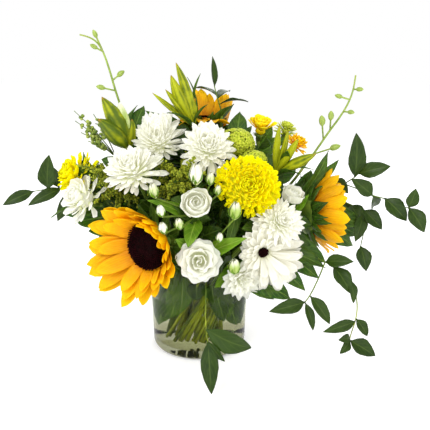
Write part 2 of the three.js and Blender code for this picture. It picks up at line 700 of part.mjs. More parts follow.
// A leaf on a line of points: `from` counts the line's points, and the leaf reaches to `tip`.
// Its first stretch is a narrow stalk, and its upper face looks away from the bouquet's heart.
function leafOn(line, from, tip, width, { arch = 24, cup = 0.22, jagged = false } = {}) {
  const last = line.length - 1;
  const root = new StemLine(line).getPoint(Math.min(from, last - SUNK) / last);
  const end = vector(...tip);
  const chord = end.clone().sub(root);
  const bend = radians(arch);
  const outward = root.clone().lerp(end, 0.5).sub(BOUQUET_HEART).normalize().add(vector(0, 0, 0.5));
  const along = chord.clone().normalize();
  const side = outward.cross(along).normalize();
  const face = along.clone().cross(side);
  const frame = new THREE.Matrix4().makeBasis(along, side, face).setPosition(root);
  const outline = jagged
    ? { stations: [0.3, 0.42, 0.56, 0.66, 0.82], widths: [0.95, 0.62, 1, 0.6, 0.62] }
    : { stations: [0.36, 0.72], widths: [1, 0.76] };
  return place([blade({
    length: (chord.length() * bend) / Math.sin(bend), width, thick: 1.4, lift: [arch, -arch], cup, ...outline,
    section: width < BROAD ? KEEL : LENS,
  })], frame)[0];
}

// A thin straight branch from a place on a line of points.
function twig(line, from, tip, radius) {
  const root = new StemLine(line).getPoint(from / (line.length - 1));
  return [tube([root, tip], radius, 3)];
}

// A round bud on a twig from a place on a line of points. `at` is the bud's middle.
function budOn(line, from, at, radius) {
  const root = new StemLine(line).getPoint(from / (line.length - 1));
  const toBud = vector(...at).sub(root);
  const length = toBud.length() + 1.25 * radius;
  const tip = root.clone().add(toBud.setLength(length));
  return [stalkedBud(root, tip, radius, 1.1, 1 - (2.4 * radius) / length)];
}

const leafList = (line, list) => list.map((leaf) => leafOn(line, ...leaf));
const points = (list) => list.map((point) => vector(...point));

// Trailing sprays: each vine goes on from its stem, and leaves stand along it.
const VINES = {
  ruscus_left: [{
    line: [[-126, 24, 196], [-152, 10, 204], [-173, 5, 207], [-190, 0, 207], [-208, -8, 205]],
    leaves: [
      [3, [-181, -14, 252], 19], [2, [-211, -16, 189], 13], [4, [-240, -22, 191], 13],
      [1.2, [-182, 4, 164], 15], [1, [-150, 24, 240], 15], [2.2, [-192, 22, 232], 14],
    ],
  }],
  ruscus_right: [{
    line: [[150, 28, 214], [186, 6, 213], [218, -10, 200], [230, -18, 199], [244, -26, 190], [258, -33, 190]],
    leaves: [
      [3, [254, -34, 174], 17], [5, [262, -34, 214], 12],
      [5, [272, -46, 163], 16], [0.6, [186, -14, 204], 15], [2, [226, 14, 180], 13],
    ],
  }, {
    line: [[186, 6, 213], [196, -2, 222], [200, -5, 228]],
    leaves: [[1, [188, -8, 278], 17], [2, [234, -20, 239], 15]],
  }, {
    line: [
      [150, 28, 214], [176, 30, 192], [198, 20, 182], [212, 9, 178], [213, -1, 152], [207, -8, 134],
      [207, -14, 122],
    ],
    leaves: [
      [3, [233, -8, 156], 15], [3.2, [199, -12, 141], 13], [5, [212, -24, 106], 15],
      [1.5, [184, 44, 160], 14],
    ],
  }],
  ruscus_low: [{
    line: [
      [112, -44, 150], [136, -60, 138], [150, -70, 134], [164, -78, 127], [177, -84, 117], [184, -88, 99],
      [186, -90, 84], [184, -92, 69], [179, -93, 52], [178, -94, 44],
    ],
    leaves: [
      [2, [178, -90, 141], 13], [2.6, [176, -94, 104], 12], [4, [179, -96, 93], 9], [7, [144, -106, 62], 11],
      [6.8, [197, -98, 53], 11], [9, [210, -104, 37], 16], [9, [164, -108, 36], 9], [8.4, [162, -106, 52], 9],
    ],
  }, {
    line: [[150, -70, 134], [140, -80, 114], [131, -86, 98], [124, -89, 90]],
    leaves: [[3, [82, -108, 88], 14], [3, [134, -98, 60], 9], [2, [153, -98, 68], 13]],
  }],
  ruscus_front: [{
    line: [[10, -86, 124], [11, -98, 112], [10, -109, 90], [11, -117, 69], [13, -122, 57]],
    leaves: [
      [4, [17, -140, 4], 19, { arch: 12 }], [1.4, [62, -112, 46], 25, { arch: 34 }], [4, [32, -126, 36], 9],
    ],
  }],
  ruscus_top: [{
    line: [[30, 16, 300], [24, 14, 318], [20, 12, 334]],
    leaves: [
      [2, [18, 4, 368], 8, { arch: 8 }], [0.6, [62, 10, 314], 14], [1.2, [-6, 34, 330], 13],
      [1, [40, 44, 326], 13],
    ],
  }],
  ruscus_back: [{
    line: [[-104, 84, 196], [-128, 98, 202], [-150, 108, 198], [-166, 116, 188]],
    leaves: [
      [0.6, [-118, 112, 236], 17], [1, [-152, 80, 222], 15], [1.6, [-148, 136, 178], 15],
      [2.2, [-184, 96, 204], 15],
      [3, [-196, 128, 170], 15],
    ],
  }],
};

const CONTINUES = 0.7; // vines are a little thinner than the stems that they go on from

// A point inside a stem, short of its end, where what goes on from it is rooted.
const leadOf = (name) => STEMS[name].end.clone().addScaledVector(STEMS[name].along, -4);

function vineParts(name) {
  const [first] = VINES[name];
  const thin = STEMS[name].radius * CONTINUES;
  return {
    lines: VINES[name].map((vine) => tube(
      vine === first ? [leadOf(name), ...points(vine.line)] : points(vine.line), thin, 3,
    )),
    leaves: VINES[name].flatMap((vine) => leafList(points(vine.line), vine.leaves)),
  };
}

// Lily buds stand up from the stem's end in a loose bunch, with narrow leaves under them.
// A bud is the place of its tip and its radius.
const LILIES = {
  lily_1: {
    buds: [[-107, -46, 320, 8], [-112, -56, 298, 8], [-86, -38, 314, 7], [-72, -30, 296, 5]],
    leaves: [[6, [-58, -6, 300], 13], [5.6, [-122, -18, 290], 8], [5.4, [-62, 8, 270], 16]],
  },
  lily_2: {
    buds: [[-24, -26, 358, 7], [-29, -38, 344, 7], [-39, -34, 330, 8], [-52, -26, 326, 7], [-10, -6, 340, 5]],
    leaves: [[6, [6, -24, 352], 8], [6, [16, 2, 330], 8], [5.6, [-46, 2, 312], 9], [5.6, [-34, -44, 304], 8]],
  },
  lily_3: {
    buds: [[95, -44, 290, 7], [120, -54, 274, 7], [132, -56, 258, 8], [106, -30, 280, 6]],
    leaves: [[6, [142, -36, 238], 8], [5.6, [84, -14, 268], 8], [5.5, [118, -62, 236], 8]],
  },
};

function lilyBuds(name) {
  return LILIES[name].buds.map(([x, y, z, radius]) => (
    stalkedBud(leadOf(name), vector(x, y, z), radius, 1.7, 0.3)
  ));
}

// Orchid tips: a bare curving line with small buds on short twigs.
// A bud is the point of the line that it grows from, its place and its radius.
const ORCHIDS = {
  orchid_1: {
    line: [
      [-76, 8, 268], [-88, 4, 288], [-98, -8, 328], [-102, -12, 348], [-108, -18, 372], [-114, -22, 383],
      [-122, -28, 388], [-131, -33, 390],
    ],
    buds: [
      [2, [-115, -12, 332], 4], [2.6, [-90, -10, 348], 4], [4.2, [-116, -24, 392], 3.5],
      [4, [-119, -20, 378], 3.5],
    ],
  },
  orchid_2: {
    line: [
      [134, 6, 236], [142, -8, 252], [159, -16, 282], [169, -20, 297], [178, -24, 315], [182, -26, 330],
      [183, -28, 346],
    ],
    buds: [
      [1.6, [148, -20, 294], 5], [2, [158, -22, 300], 4.5], [1, [166, -20, 262], 5],
      [3.4, [180, -30, 304], 3.5],
      [4.2, [166, -20, 322], 3.5], [5, [188, -32, 330], 3.5],
    ],
  },
};

function orchidParts(name) {
  const line = points(ORCHIDS[name].line);
  const buds = ORCHIDS[name].buds.flatMap(([from, at, radius]) => budOn(line, from, at, radius));
  return [tube([leadOf(name), ...line], 1.3, 3), ...buds];
}

// Fillers: spikes of tufts or beads fan out from the stem's end.
const FILLERS = {
  filler_1: { spread: 44, rise: 36, spikes: 4, tufts: 3, size: 5.4, seed: 11 },
  filler_2: { spread: 32, rise: 28, spikes: 4, tufts: 3, size: 5, seed: 23 },
  bead_spray: { spread: 40, rise: 52, spikes: 4, tufts: 4, size: 3.2, seed: 37 },
  filler_back: { spread: 50, rise: 42, spikes: 4, tufts: 3, size: 5.4, seed: 41 },
};

function fillerParts(name) {
  const { spread, rise, spikes, tufts, size, seed } = FILLERS[name];
  const draw = drawFrom(seed);
  const line = stemPoints[name];
  const top = line[line.length - 1];
  const { along } = STEMS[name];
  return Array.from({ length: spikes }, (_, i) => {
    const angle = (2 * Math.PI * i) / spikes + draw();
    const reach = spread * (0.45 + 0.5 * draw());
    const out = vector(Math.cos(angle), Math.sin(angle), 0).multiplyScalar(reach);
    const root = top.clone().addScaledVector(along, -3 - 4 * draw());
    const tip = top.clone().addScaledVector(along, rise * (0.7 + 0.5 * draw())).add(out);
    const middle = root.clone().lerp(tip, 0.5).setZ(blend(root.z, tip.z, 0.62));
    return tuftedSpike(new StemLine([root, middle, tip]), tufts, size);
  });
}

// Buds of the lisianthus: the stem's point that each grows from, its place and its radius.
const FRONT_BUDS = [
  ['lisianthus_2', 5.3, [1, -108, 243], 8], ['lisianthus_2', 5.1, [16, -104, 238], 5],
  ['lisianthus_2', 5.1, [24, -106, 226], 4], ['lisianthus_2', 5.1, [-45, -100, 224], 6],
  ['lisianthus_2', 4.9, [-36, -118, 206], 5], ['lisianthus_2', 4.9, [-17, -118, 192], 5],
  ['lisianthus_2', 4.7, [-34, -120, 188], 5], ['lisianthus_1', 4.9, [42, -118, 206], 7],
  ['lisianthus_1', 5.1, [26, -114, 176], 4],
];

// Leaves on the stems: the point of the stem, the tip and the width.
const STEM_LEAVES = {
  sunflower_1: [[4.3, [-92, -66, 128], 34], [4.7, [-110, -62, 150], 26], [2, [-32, -52, 84], 20]],
  sunflower_2: [
    [5, [150, -8, 236], 20], [4.3, [134, -44, 150], 30], [4.7, [152, 14, 240], 18],
    [4.3, [118, -52, 182], 22],
  ],
  sunflower_3: [[4.8, [-34, 66, 282], 26], [4.8, [60, 66, 284], 26]],
  white_mum_3: [[5, [-12, -34, 270], 14]],
  white_mum_4: [[4.8, [50, -106, 184], 18], [4.8, [124, -84, 190], 18]],
  white_daisy: [[4.4, [152, -64, 124], 28, { jagged: true }], [4.4, [98, -74, 104], 24, { jagged: true }]],
  yellow_mum: [[4.8, [32, -104, 156], 14], [5, [88, -66, 206], 16]],
  yellow_left: [[4.3, [-180, -26, 176], 20], [4.7, [-150, 30, 250], 18]],
  lisianthus_1: [[4.9, [-22, -112, 174], 22], [4.7, [55, -114, 176], 18]],
  lisianthus_2: [[4.7, [-8, -116, 166], 20], [4.3, [-52, -100, 214], 16]],
  lisianthus_3: [[4.3, [20, -86, 108], 16], [4.6, [78, -78, 108], 16]],
  lisianthus_4: [[4.8, [128, -68, 214], 12]],
  snowball_1: [[5, [26, -50, 284], 14], [4.8, [66, -2, 286], 16]],
  back_mum: [[4.7, [-94, 96, 214], 28], [4.5, [-20, 116, 200], 28]],
  back_lisianthus: [[4.7, [104, 92, 200], 20], [4.3, [82, 98, 160], 22]],
};

const stemLeaves = (name) => leafList(stemPoints[name], STEM_LEAVES[name] ?? []);

// ---------------------------------------------------------------- the vase and its water

function vaseProfile() {
  const heelCorner = (angle) => [
    VASE_FOOT_RADIUS - VASE_HEEL + VASE_HEEL * Math.sin(radians(angle)),
    VASE_HEEL - VASE_HEEL * Math.cos(radians(angle)),
  ];
  return [
    [0, 0], [VASE_FOOT_RADIUS - VASE_HEEL, 0], heelCorner(35), heelCorner(65), heelCorner(90),
    [VASE_RIM_RADIUS, VASE_HEIGHT - 1.5], [VASE_RIM_RADIUS - GLASS_WALL / 2, VASE_HEIGHT],
    [VASE_RIM_RADIUS - GLASS_WALL, VASE_HEIGHT - 1.5], ...insideProfile(0),
  ];
}

// The inside from the wall down to the middle of the base, set in by a gap.
function insideProfile(gap) {
  const foot = VASE_FOOT_RADIUS - GLASS_WALL - gap;
  return [[foot, GLASS_BASE + 6 + gap], [foot - 5, GLASS_BASE + gap], [0, GLASS_BASE + gap]];
}

function waterProfile() {
  const share = (WATER_LEVEL - VASE_HEEL) / (VASE_HEIGHT - VASE_HEEL);
  const surface = blend(VASE_FOOT_RADIUS, VASE_RIM_RADIUS, share) - GLASS_WALL - CLEARANCE - 0.1;
  return [[0, WATER_LEVEL], [surface, WATER_LEVEL], ...insideProfile(CLEARANCE)].reverse();
}

// ---------------------------------------------------------------- the plants' pieces

// A step is some pieces of one node, and the plant that they belong to. Steps come first to last, and
// each is cut clear of the other nodes' steps before it: stems and backs, then blooms, then leaves.
// A bloom's cover is the simple form that other plants are cut back to instead of to each petal.
const steps = [];
const addStep = (node, plant, pieces, extra = {}) => steps.push({ node, plant, pieces, ...extra });

// The room that placed blooms take, as tests of a point.
const taken = [];

// A flattened ball round a bloom, from `low` to `high` along its axis, out to `reach` from it.
function bloomRoom(name, { reach, low, high }) {
  const frame = headFrame(name);
  const back = frame.clone().invert();
  const middle = (low + high) / 2;
  const half = (high - low) / 2;
  const holds = (point) => {
    const local = point.clone().applyMatrix4(back);
    return Math.hypot(Math.hypot(local.x, local.y) / reach, (local.z - middle) / half) < 1;
  };
  const fullness = 1.05; // makes up for the flat faces
  const cover = (grow) => new THREE.SphereGeometry(1, 8, 6)
    .rotateX(Math.PI / 2)
    .scale(fullness * reach + grow, fullness * reach + grow, fullness * half + grow)
    .translate(0, 0, middle)
    .applyMatrix4(frame);
  return { holds, cover: [cover] };
}

// Adds a bloom's pieces. `room` is left out where a later piece's room covers them.
function addBloom(name, part, build, room) {
  const frame = headFrame(name);
  const pieces = place(build({ frame, taken }), frame);
  if (!room) {
    addStep(`${name}_${part}`, name, pieces);
    return;
  }
  const { holds, cover } = bloomRoom(name, room);
  addStep(`${name}_${part}`, name, pieces, { cover });
  taken.push(holds);
}

addStep('vase', 'vase', [turned(vaseProfile(), VASE_SIDES)]);

const SUNFLOWERS = ['sunflower_1', 'sunflower_2', 'sunflower_3'];
SUNFLOWERS.forEach((name, i) => {
  addStep(`${name}_green`, name, [stemTube(name), ...place(sunflowerBack(19 + i), headFrame(name))]);
});

const calyx = (name) => place(mumBack(HEADS[name].radius), headFrame(name));
const MUM_PLANTS = [
  'white_mum_2', 'white_mum_3', 'white_mum_4', 'white_mum_5', 'white_daisy', 'yellow_mum', 'yellow_left',
  'back_mum',
];
for (const name of MUM_PLANTS) addStep(`${name}_green`, name, [stemTube(name), ...calyx(name)]);

// Two of the white mums are heads of one spray.
addStep('white_mum_2_green', 'white_mum_2', [
  ...calyx('white_mum_1'), ...twig(stemPoints.white_mum_2, 4.7, behind('white_mum_1', 6), 2.2),
]);

// The three small blooms at the top right share one stem that branches.
const TOP_BLOOMS = ['yellow_top', 'orange_bloom', 'lime_bloom'];
addStep('yellow_top_green', 'top', [
  stemTube('yellow_top'),
  ...TOP_BLOOMS.flatMap(calyx),
  ...twig(stemPoints.yellow_top, 4.6, behind('orange_bloom', 5), 1.8),
  ...twig(stemPoints.yellow_top, 4.2, behind('lime_bloom', 5), 1.8),
]);

const ROSES = {
  lisianthus_1: OPEN_ROSE, lisianthus_2: CLOSED_ROSE, lisianthus_3: OPEN_ROSE, lisianthus_4: CLOSED_ROSE,
  back_lisianthus: CLOSED_ROSE,
};
for (const name of Object.keys(ROSES)) {
  const buds = FRONT_BUDS.filter(([stemName]) => stemName === name)
    .flatMap(([, from, at, radius]) => budOn(stemPoints[name], from, at, radius));
  const back = place(roseBack(HEADS[name].radius), headFrame(name));
  addStep(`${name}_green`, name, [stemTube(name), ...back, ...buds]);
}

for (const name of [...Object.keys(LILIES), ...Object.keys(FILLERS)]) addStep(name, name, [stemTube(name)]);
addStep('snowballs', 'snowball_1', [
  stemTube('snowball_1'), ...twig(stemPoints.snowball_1, 4.6, behind('snowball_2', -4), 1.8),
]);
for (const name of Object.keys(ORCHIDS)) addStep(name, name, [stemTube(name), ...orchidParts(name)]);
const vines = Object.fromEntries(Object.keys(VINES).map((name) => [name, vineParts(name)]));
for (const [name, parts] of Object.entries(vines)) addStep(name, name, [stemTube(name), ...parts.lines]);

const RAYS = {
  // The rays on the side turned to the viewer stand up and curl over the disc.
  sunflower_1: {
    seed: 31, outerRays: 12, innerRays: 7,
    lifts: (angle, draw) => {
      const near = Math.max(Math.cos(angle - radians(20)), 0);
      return [20 + 30 * near, 30 + 58 * near + 12 * (draw() - 0.5)];
    },
  },
  sunflower_2: {
    seed: 32, outerRays: 12, innerRays: 7,
    lifts: (angle, draw) => [28, 52 + 14 * (draw() - 0.5)],
  },
  sunflower_3: {
    seed: 33, outerRays: 11, innerRays: 5,
    lifts: (angle, draw) => [24, 40 + 14 * (draw() - 0.5)],
  },
};
for (const name of SUNFLOWERS) {
  addBloom(name, 'disc', () => sunflowerDisc(), { reach: 44, low: -14, high: 30 });
  addBloom(name, 'rays', ({ frame }) => sunflowerRays(RAYS[name], { frame, taken: taken.slice(0, -1) }));
}

const mumRoom = ({ radius }) => ({ reach: 1.06 * radius, low: -0.3 * radius, high: 0.95 * radius });
const roseRoom = ({ radius }) => ({ reach: 1.16 * radius, low: -0.2 * radius, high: 1.5 * radius });

function addRose(name) {
  const head = HEADS[name];
  addBloom(name, 'petals', () => rosePetals(head.radius, 3 + steps.length, ROSES[name]), roseRoom(head));
}

function addMum(name, layers) {
  const head = HEADS[name];
  const build = (space) => mumPetals(head.radius, 7 + steps.length, layers, space);
  addBloom(name, 'petals', build, mumRoom(head));
}

addRose('lisianthus_1');
addMum('yellow_mum', DENSE_MUM);
addMum('white_mum_4', FULL_MUM);
addBloom('white_daisy', 'eye', () => daisyEye());
addBloom(
  'white_daisy', 'petals', (space) => daisyPetals(HEADS.white_daisy.radius, 5, space),
  { reach: 44, low: -18, high: 16 },
);
for (const name of ['white_mum_2', 'white_mum_3', 'white_mum_1']) addMum(name, FULL_MUM);
for (const name of ['lisianthus_2', 'lisianthus_3', 'lisianthus_4', 'back_lisianthus']) addRose(name);
for (const name of ['white_mum_5', 'back_mum']) addMum(name, HIDDEN_MUM);
for (const name of ['yellow_left', 'yellow_top', 'orange_bloom']) addMum(name, SMALL_MUM);

// The lime bloom is one with its calyx, so it is sunk a little into it.
const limeFrame = headFrame('lime_bloom').multiply(new THREE.Matrix4().makeTranslation(0, 0, -2));
const limePetals = mumPetals(HEADS.lime_bloom.radius, 9, SMALL_MUM, { frame: limeFrame, taken });
addStep('yellow_top_green', 'top', place(limePetals, limeFrame));
addStep('snowballs', 'snowball_1', [
  ...place(snowball(HEADS.snowball_1.radius, 36, 2), headFrame('snowball_1')),
  ...place(snowball(HEADS.snowball_2.radius, 30, 2), headFrame('snowball_2')),
]);
for (const name of Object.keys(LILIES)) addStep(name, name, lilyBuds(name));

const leafy = { leafy: true };
for (const [name, parts] of Object.entries(vines)) addStep(name, name, parts.leaves, leafy);
for (const name of Object.keys(LILIES)) {
  addStep(name, name, leafList(stemPoints[name], LILIES[name].leaves), leafy);
}
for (const name of Object.keys(STEM_LEAVES)) {
  addStep(name.startsWith('snowball') ? 'snowballs' : `${name}_green`, name, stemLeaves(name), leafy);
}
for (const name of Object.keys(FILLERS)) addStep(name, name, fillerParts(name), leafy);

// ---------------------------------------------------------------- cutting clear and joining

const boxOf = (solid) => {
  const { min, max } = solid.boundingBox();
  return new THREE.Box3(vector(...min), vector(...max));
};

function cutterFor(step, other) {
  const byPetals = !other.cover || (other.plant === step.plant && !step.leafy);
  if (byPetals) other.exact ??= fuse(other.pieces, CLEARANCE);
  else other.simple ??= fuse(other.cover, CLEARANCE);
  return byPetals ? other.exact : other.simple;
}

function cutClear(step, earlier) {
  let solid = fuse(step.pieces);
  for (const other of earlier) {
    if (other.node === step.node || !other.box.intersectsBox(boxOf(solid))) continue;
    solid = solid.subtract(cutterFor(step, other));
  }
  return solid;
}

const solids = new Map();
const done = [];
for (const step of steps) {
  const solid = cutClear(step, done);
  const before = solids.get(step.node);
  solids.set(step.node, before ? before.add(solid) : solid);
  const reach = 12; // covers reach further than the petals in them
  if (!solid.isEmpty()) done.push({ ...step, box: boxOf(solid).expandByScalar(reach) });
}

let water = fuse([turned(waterProfile(), VASE_SIDES)]);
for (const step of done) {
  if (step.node === 'vase' || boxOf(fuse(step.pieces)).min.z > WATER_LEVEL + 1) continue;
  water = water.subtract(fuse(step.pieces, CLEARANCE));
}
solids.set('water', water);

// ---------------------------------------------------------------- colours and the finished group

const WHITE = 0xf4f2e6;
const YELLOW = 0xf6c414;
const GREEN = 0x4a6b1e;
const PALE_GREEN = 0x8fa63a;

function colourOf(node) {
  if (node === 'vase') return 0xc9d6bd;
  if (node === 'water') return 0xb9c59a;
  if (node.endsWith('_disc') || node.endsWith('_eye')) return 0x2c1712;
  if (node.endsWith('_green')) return GREEN;
  if (node.startsWith('sunflower')) return 0xf5a81c;
  if (node.startsWith('orange')) return 0xf2a51e;
  if (node.startsWith('yellow')) return YELLOW;
  if (node.startsWith('snowball')) return 0x9cb84a;
  if (node.startsWith('ruscus')) return 0x39591c;
  if (/filler|bead|lily|orchid/.test(node)) return PALE_GREEN;
  return WHITE;
}

const bouquet = new THREE.Group();
for (const [node, solid] of solids) {
  const clear = node === 'vase' || node === 'water';
  const material = new THREE.MeshStandardMaterial({
    color: colourOf(node), roughness: clear ? 0.05 : 0.6, metalness: 0,
    transparent: clear, opacity: clear ? 0.35 : 1,
  });
  const mesh = new THREE.Mesh(toGeometry(largestBody(solid)), material);
  mesh.name = node;
  bouquet.add(mesh);
}

export default bouquet;
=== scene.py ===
"""A mixed bouquet of sunflowers, chrysanthemums, lisianthus, lily buds, snowballs and leafy sprays in a
glass vase. Tables and helpers work in millimetres in the frame's axes; meshes are made in metres."""

import math
import random

import bpy
import numpy as np
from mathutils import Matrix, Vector


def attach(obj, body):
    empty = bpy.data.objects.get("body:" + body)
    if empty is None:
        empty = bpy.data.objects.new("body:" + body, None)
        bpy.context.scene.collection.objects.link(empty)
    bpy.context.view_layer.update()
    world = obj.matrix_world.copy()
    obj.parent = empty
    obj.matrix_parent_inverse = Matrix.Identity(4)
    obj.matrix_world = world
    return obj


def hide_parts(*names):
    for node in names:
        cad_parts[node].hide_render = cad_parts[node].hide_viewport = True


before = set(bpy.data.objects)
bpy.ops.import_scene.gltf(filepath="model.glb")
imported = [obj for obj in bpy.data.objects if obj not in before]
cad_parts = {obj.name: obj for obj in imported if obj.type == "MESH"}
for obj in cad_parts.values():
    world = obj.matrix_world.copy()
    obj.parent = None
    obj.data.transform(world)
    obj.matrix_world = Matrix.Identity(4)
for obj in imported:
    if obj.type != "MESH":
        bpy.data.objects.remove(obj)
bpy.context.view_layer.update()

MM = 0.001
GOLDEN_ANGLE = math.pi * (3 - math.sqrt(5))

# ---------------------------------------------------------------- where everything is

# The vase is nearly a cylinder, slightly wider at its rim, with a rounded heel.
VASE_HEIGHT = 115
VASE_FOOT_RADIUS = 61
VASE_RIM_RADIUS = 64
VASE_HEEL = 9
GLASS_WALL = 3.5
GLASS_BASE = 10
WATER_LEVEL = 70

# The stems. Each is a line of points: its foot, the mouth, its free points, its arrival and its end.
FOOT_LEVEL = 14
FOOT_SHARE = 0.86  # how far out a stem stands, as a share of where it passes the mouth
NECK_LEVEL = 108
NECK_REACH = 50  # how far out the lowest stems pass the mouth, before they are spread
NECK_EDGE = 55  # as far out as a stem's side may go there
STEM_TWIST = 75  # degrees round the axis from the mouth to the foot
FREE_POINTS = 3
ARRIVAL = 20  # the last straight stretch
MOUTH_GAP = 3.2
STEM_GAP = 1.2

# Blooms: place of the underside's centre, the way they face, and radius.
HEADS = {
    "sunflower_1": ((-55, -92, 160), (-0.56, -0.82, 0.04), 40),
    "sunflower_2": ((146, -12, 180), (0.95, 0.2, 0.06), 40),
    "sunflower_3": ((8, 48, 286), (0.05, 0.45, 0.9), 40),
    "white_mum_1": ((-44, -36, 262), (-0.1, -0.55, 0.8), 29),
    "white_mum_2": ((-66, -78, 234), (-0.25, -0.55, 0.8), 37),
    "white_mum_3": ((13, -58, 258), (0.05, -0.75, 0.66), 32),
    "white_mum_4": ((87, -92, 187), (0.45, -0.8, 0.4), 29),
    "white_mum_5": ((-128, -38, 200), (-0.75, -0.45, 0.45), 29),
    "white_daisy": ((72, -98, 158), (0.35, -0.9, -0.3), 40),
    "yellow_mum": ((54, -86, 226), (0.1, -0.94, 0.3), 36),
    "yellow_left": ((-146, -2, 222), (-0.8, -0.35, 0.5), 27),
    "yellow_top": ((78, 22, 274), (0.1, -0.3, 0.95), 22),
    "orange_bloom": ((120, 8, 258), (0.5, -0.4, 0.77), 17),
    "lime_bloom": ((112, 42, 272), (0.3, -0.1, 0.95), 17),
    "lisianthus_1": ((4, -100, 147), (0, -0.98, 0.18), 23),
    "lisianthus_2": ((1, -105, 208), (0, -0.86, 0.5), 18),
    "lisianthus_3": ((50, -86, 124), (0.25, -0.9, -0.2), 20),
    "lisianthus_4": ((107, -58, 204), (0.3, -0.35, 0.88), 15),
    "snowball_1": ((46, -28, 268), (0.15, -0.4, 0.9), 21),
    "snowball_2": ((66, -48, 250), (0.3, -0.5, 0.8), 14),
    "back_mum": ((-48, 82, 232), (-0.35, 0.8, 0.5), 38),
    "back_lisianthus": ((62, 92, 214), (0.4, 0.8, 0.45), 24),
}


def unit(values):
    values = np.array(values, float)
    return values / np.linalg.norm(values)


def polar(angle, reach=1.0, z=0.0):
    """A point at an angle, in radians, and a distance from the axis."""
    return np.array((reach * math.cos(angle), reach * math.sin(angle), z))


def head_at(name):
    return np.array(HEADS[name][0], float)


def head_facing(name):
    return unit(HEADS[name][1])


def behind(name, depth):
    return head_at(name) - depth * head_facing(name)


# Stems that end under a bloom: how far behind its underside, and the stem's radius.
BLOOM_STEMS = {
    "sunflower_1": (24, 4.5), "sunflower_2": (24, 4.5), "sunflower_3": (24, 4.5),
    "white_mum_2": (8, 2.6), "white_mum_3": (8, 2.6), "white_mum_4": (8, 2.6), "white_mum_5": (8, 2.6),
    "white_daisy": (6, 3), "yellow_mum": (8, 3), "yellow_left": (8, 2.4), "yellow_top": (6, 2.4),
    "lisianthus_1": (5, 2.2), "lisianthus_2": (5, 2.2), "lisianthus_3": (5, 2.2), "lisianthus_4": (5, 2.2),
    "snowball_1": (-6, 2.2), "back_mum": (8, 2.8), "back_lisianthus": (5, 2.2),
}

# The other stems: end, the way they arrive there, and radius.
SPRAY_STEMS = {
    "lily_1": ((-84, -22, 262), (-0.35, -0.1, 0.9), 2.8),
    "lily_2": ((-4, -8, 288), (-0.1, 0, 1), 2.8),
    "lily_3": ((96, -24, 232), (0.6, -0.1, 0.8), 2.8),
    "orchid_1": ((-76, 8, 268), (-0.25, 0, 1), 1.9),
    "orchid_2": ((134, 6, 236), (0.5, -0.1, 0.8), 1.9),
    "filler_1": ((-92, -12, 216), (-0.6, -0.3, 0.7), 1.8),
    "filler_2": ((-20, -60, 228), (-0.1, -0.6, 0.8), 1.8),
    "bead_spray": ((-108, 20, 248), (-0.6, 0, 0.8), 1.8),
    "filler_back": ((4, 98, 244), (0, 0.5, 0.85), 1.8),
    "ruscus_left": ((-126, 24, 196), (-0.9, 0, 0.4), 1.7),
    "ruscus_right": ((150, 28, 214), (0.9, -0.1, 0.3), 1.7),
    "ruscus_low": ((112, -44, 150), (0.9, -0.4, -0.1), 1.7),
    "ruscus_front": ((10, -84, 122), (0, -1, 0.1), 1.7),
    "ruscus_top": ((30, 16, 300), (0.1, 0.1, 1), 1.7),
    "ruscus_back": ((-104, 84, 196), (-0.7, 0.6, 0.3), 1.7),
}


# ---------------------------------------------------------------- the stems' ways through the vase

SPREADING_ROUNDS = 200
ROUTING_ROUNDS = 160
# The corner that a stem's first curve rounds, as shares of the way from the mouth to the stem's arrival.
TURNING_OUT, TURNING_UP = 0.45, 0.62
STRAIGHTENING = 0.12  # the share of the way to its neighbours' middle that a point moves in a round
LOOK_AROUND = 8.0  # stretches closer than their gap and this are looked at one by one
FAR_FROM_A_HEAD = 120


def mouth_point(end):
    """Steep stems pass the mouth near its middle, and low ones near its rim."""
    reach = math.hypot(end[0], end[1])
    steepness = math.atan2(end[2] - NECK_LEVEL, reach) / (math.pi / 2)
    radius = NECK_REACH * (1 - max(steepness, 0)) ** 0.75
    return complex(end[0], end[1]) / reach * radius


def spread_mouth(stems):
    """Moves the stems apart where they pass the mouth."""
    for _ in range(SPREADING_ROUNDS):
        for a in stems:
            for b in stems:
                if a is b:
                    continue
                apart = a["mouth"] - b["mouth"]
                length = abs(apart)
                short = a["radius"] + b["radius"] + MOUTH_GAP - length
                if short > 0:
                    apart *= short / 2 / length
                    a["mouth"] += apart
                    b["mouth"] -= apart
            limit = NECK_EDGE - a["radius"]
            if abs(a["mouth"]) > limit:
                a["mouth"] *= limit / abs(a["mouth"])


def nearest_shares(a0, a1, b0, b1):
    """The nearest points of two straight stretches, as shares along each. Works on whole arrays."""
    u, v, w = a1 - a0, b1 - b0, a0 - b0
    uu, uv, vv = (u * u).sum(-1), (u * v).sum(-1), (v * v).sum(-1)
    uw, vw = (u * w).sum(-1), (v * w).sum(-1)
    bottom = uu * vv - uv * uv
    safe = np.where(bottom > 1e-9, bottom, 1.0)
    s = np.where(bottom > 1e-9, np.clip((uv * vw - vv * uw) / safe, 0, 1), 0.0)
    t = np.clip((uv * s + vw) / vv, 0, 1)
    return np.clip((uv * t - uw) / uu, 0, 1), t


def is_free(i):
    return 2 <= i < 2 + FREE_POINTS


def part_stretches(a, b, i, j):
    """Pushes stretch i of stem a and stretch j of stem b apart."""
    p, q = a["points"], b["points"]
    s, t = nearest_shares(p[i], p[i + 1], q[j], q[j + 1])
    apart = p[i] + (p[i + 1] - p[i]) * s - q[j] - (q[j + 1] - q[j]) * t
    length = np.linalg.norm(apart)
    short = a["radius"] + b["radius"] + STEM_GAP - length
    if short <= 0:
        return
    apart *= short * 0.6 / length
    for points, k, share in ((p, i, 1 - s), (p, i + 1, s), (q, j, t - 1), (q, j + 1, -t)):
        if is_free(k):
            points[k] += apart * share


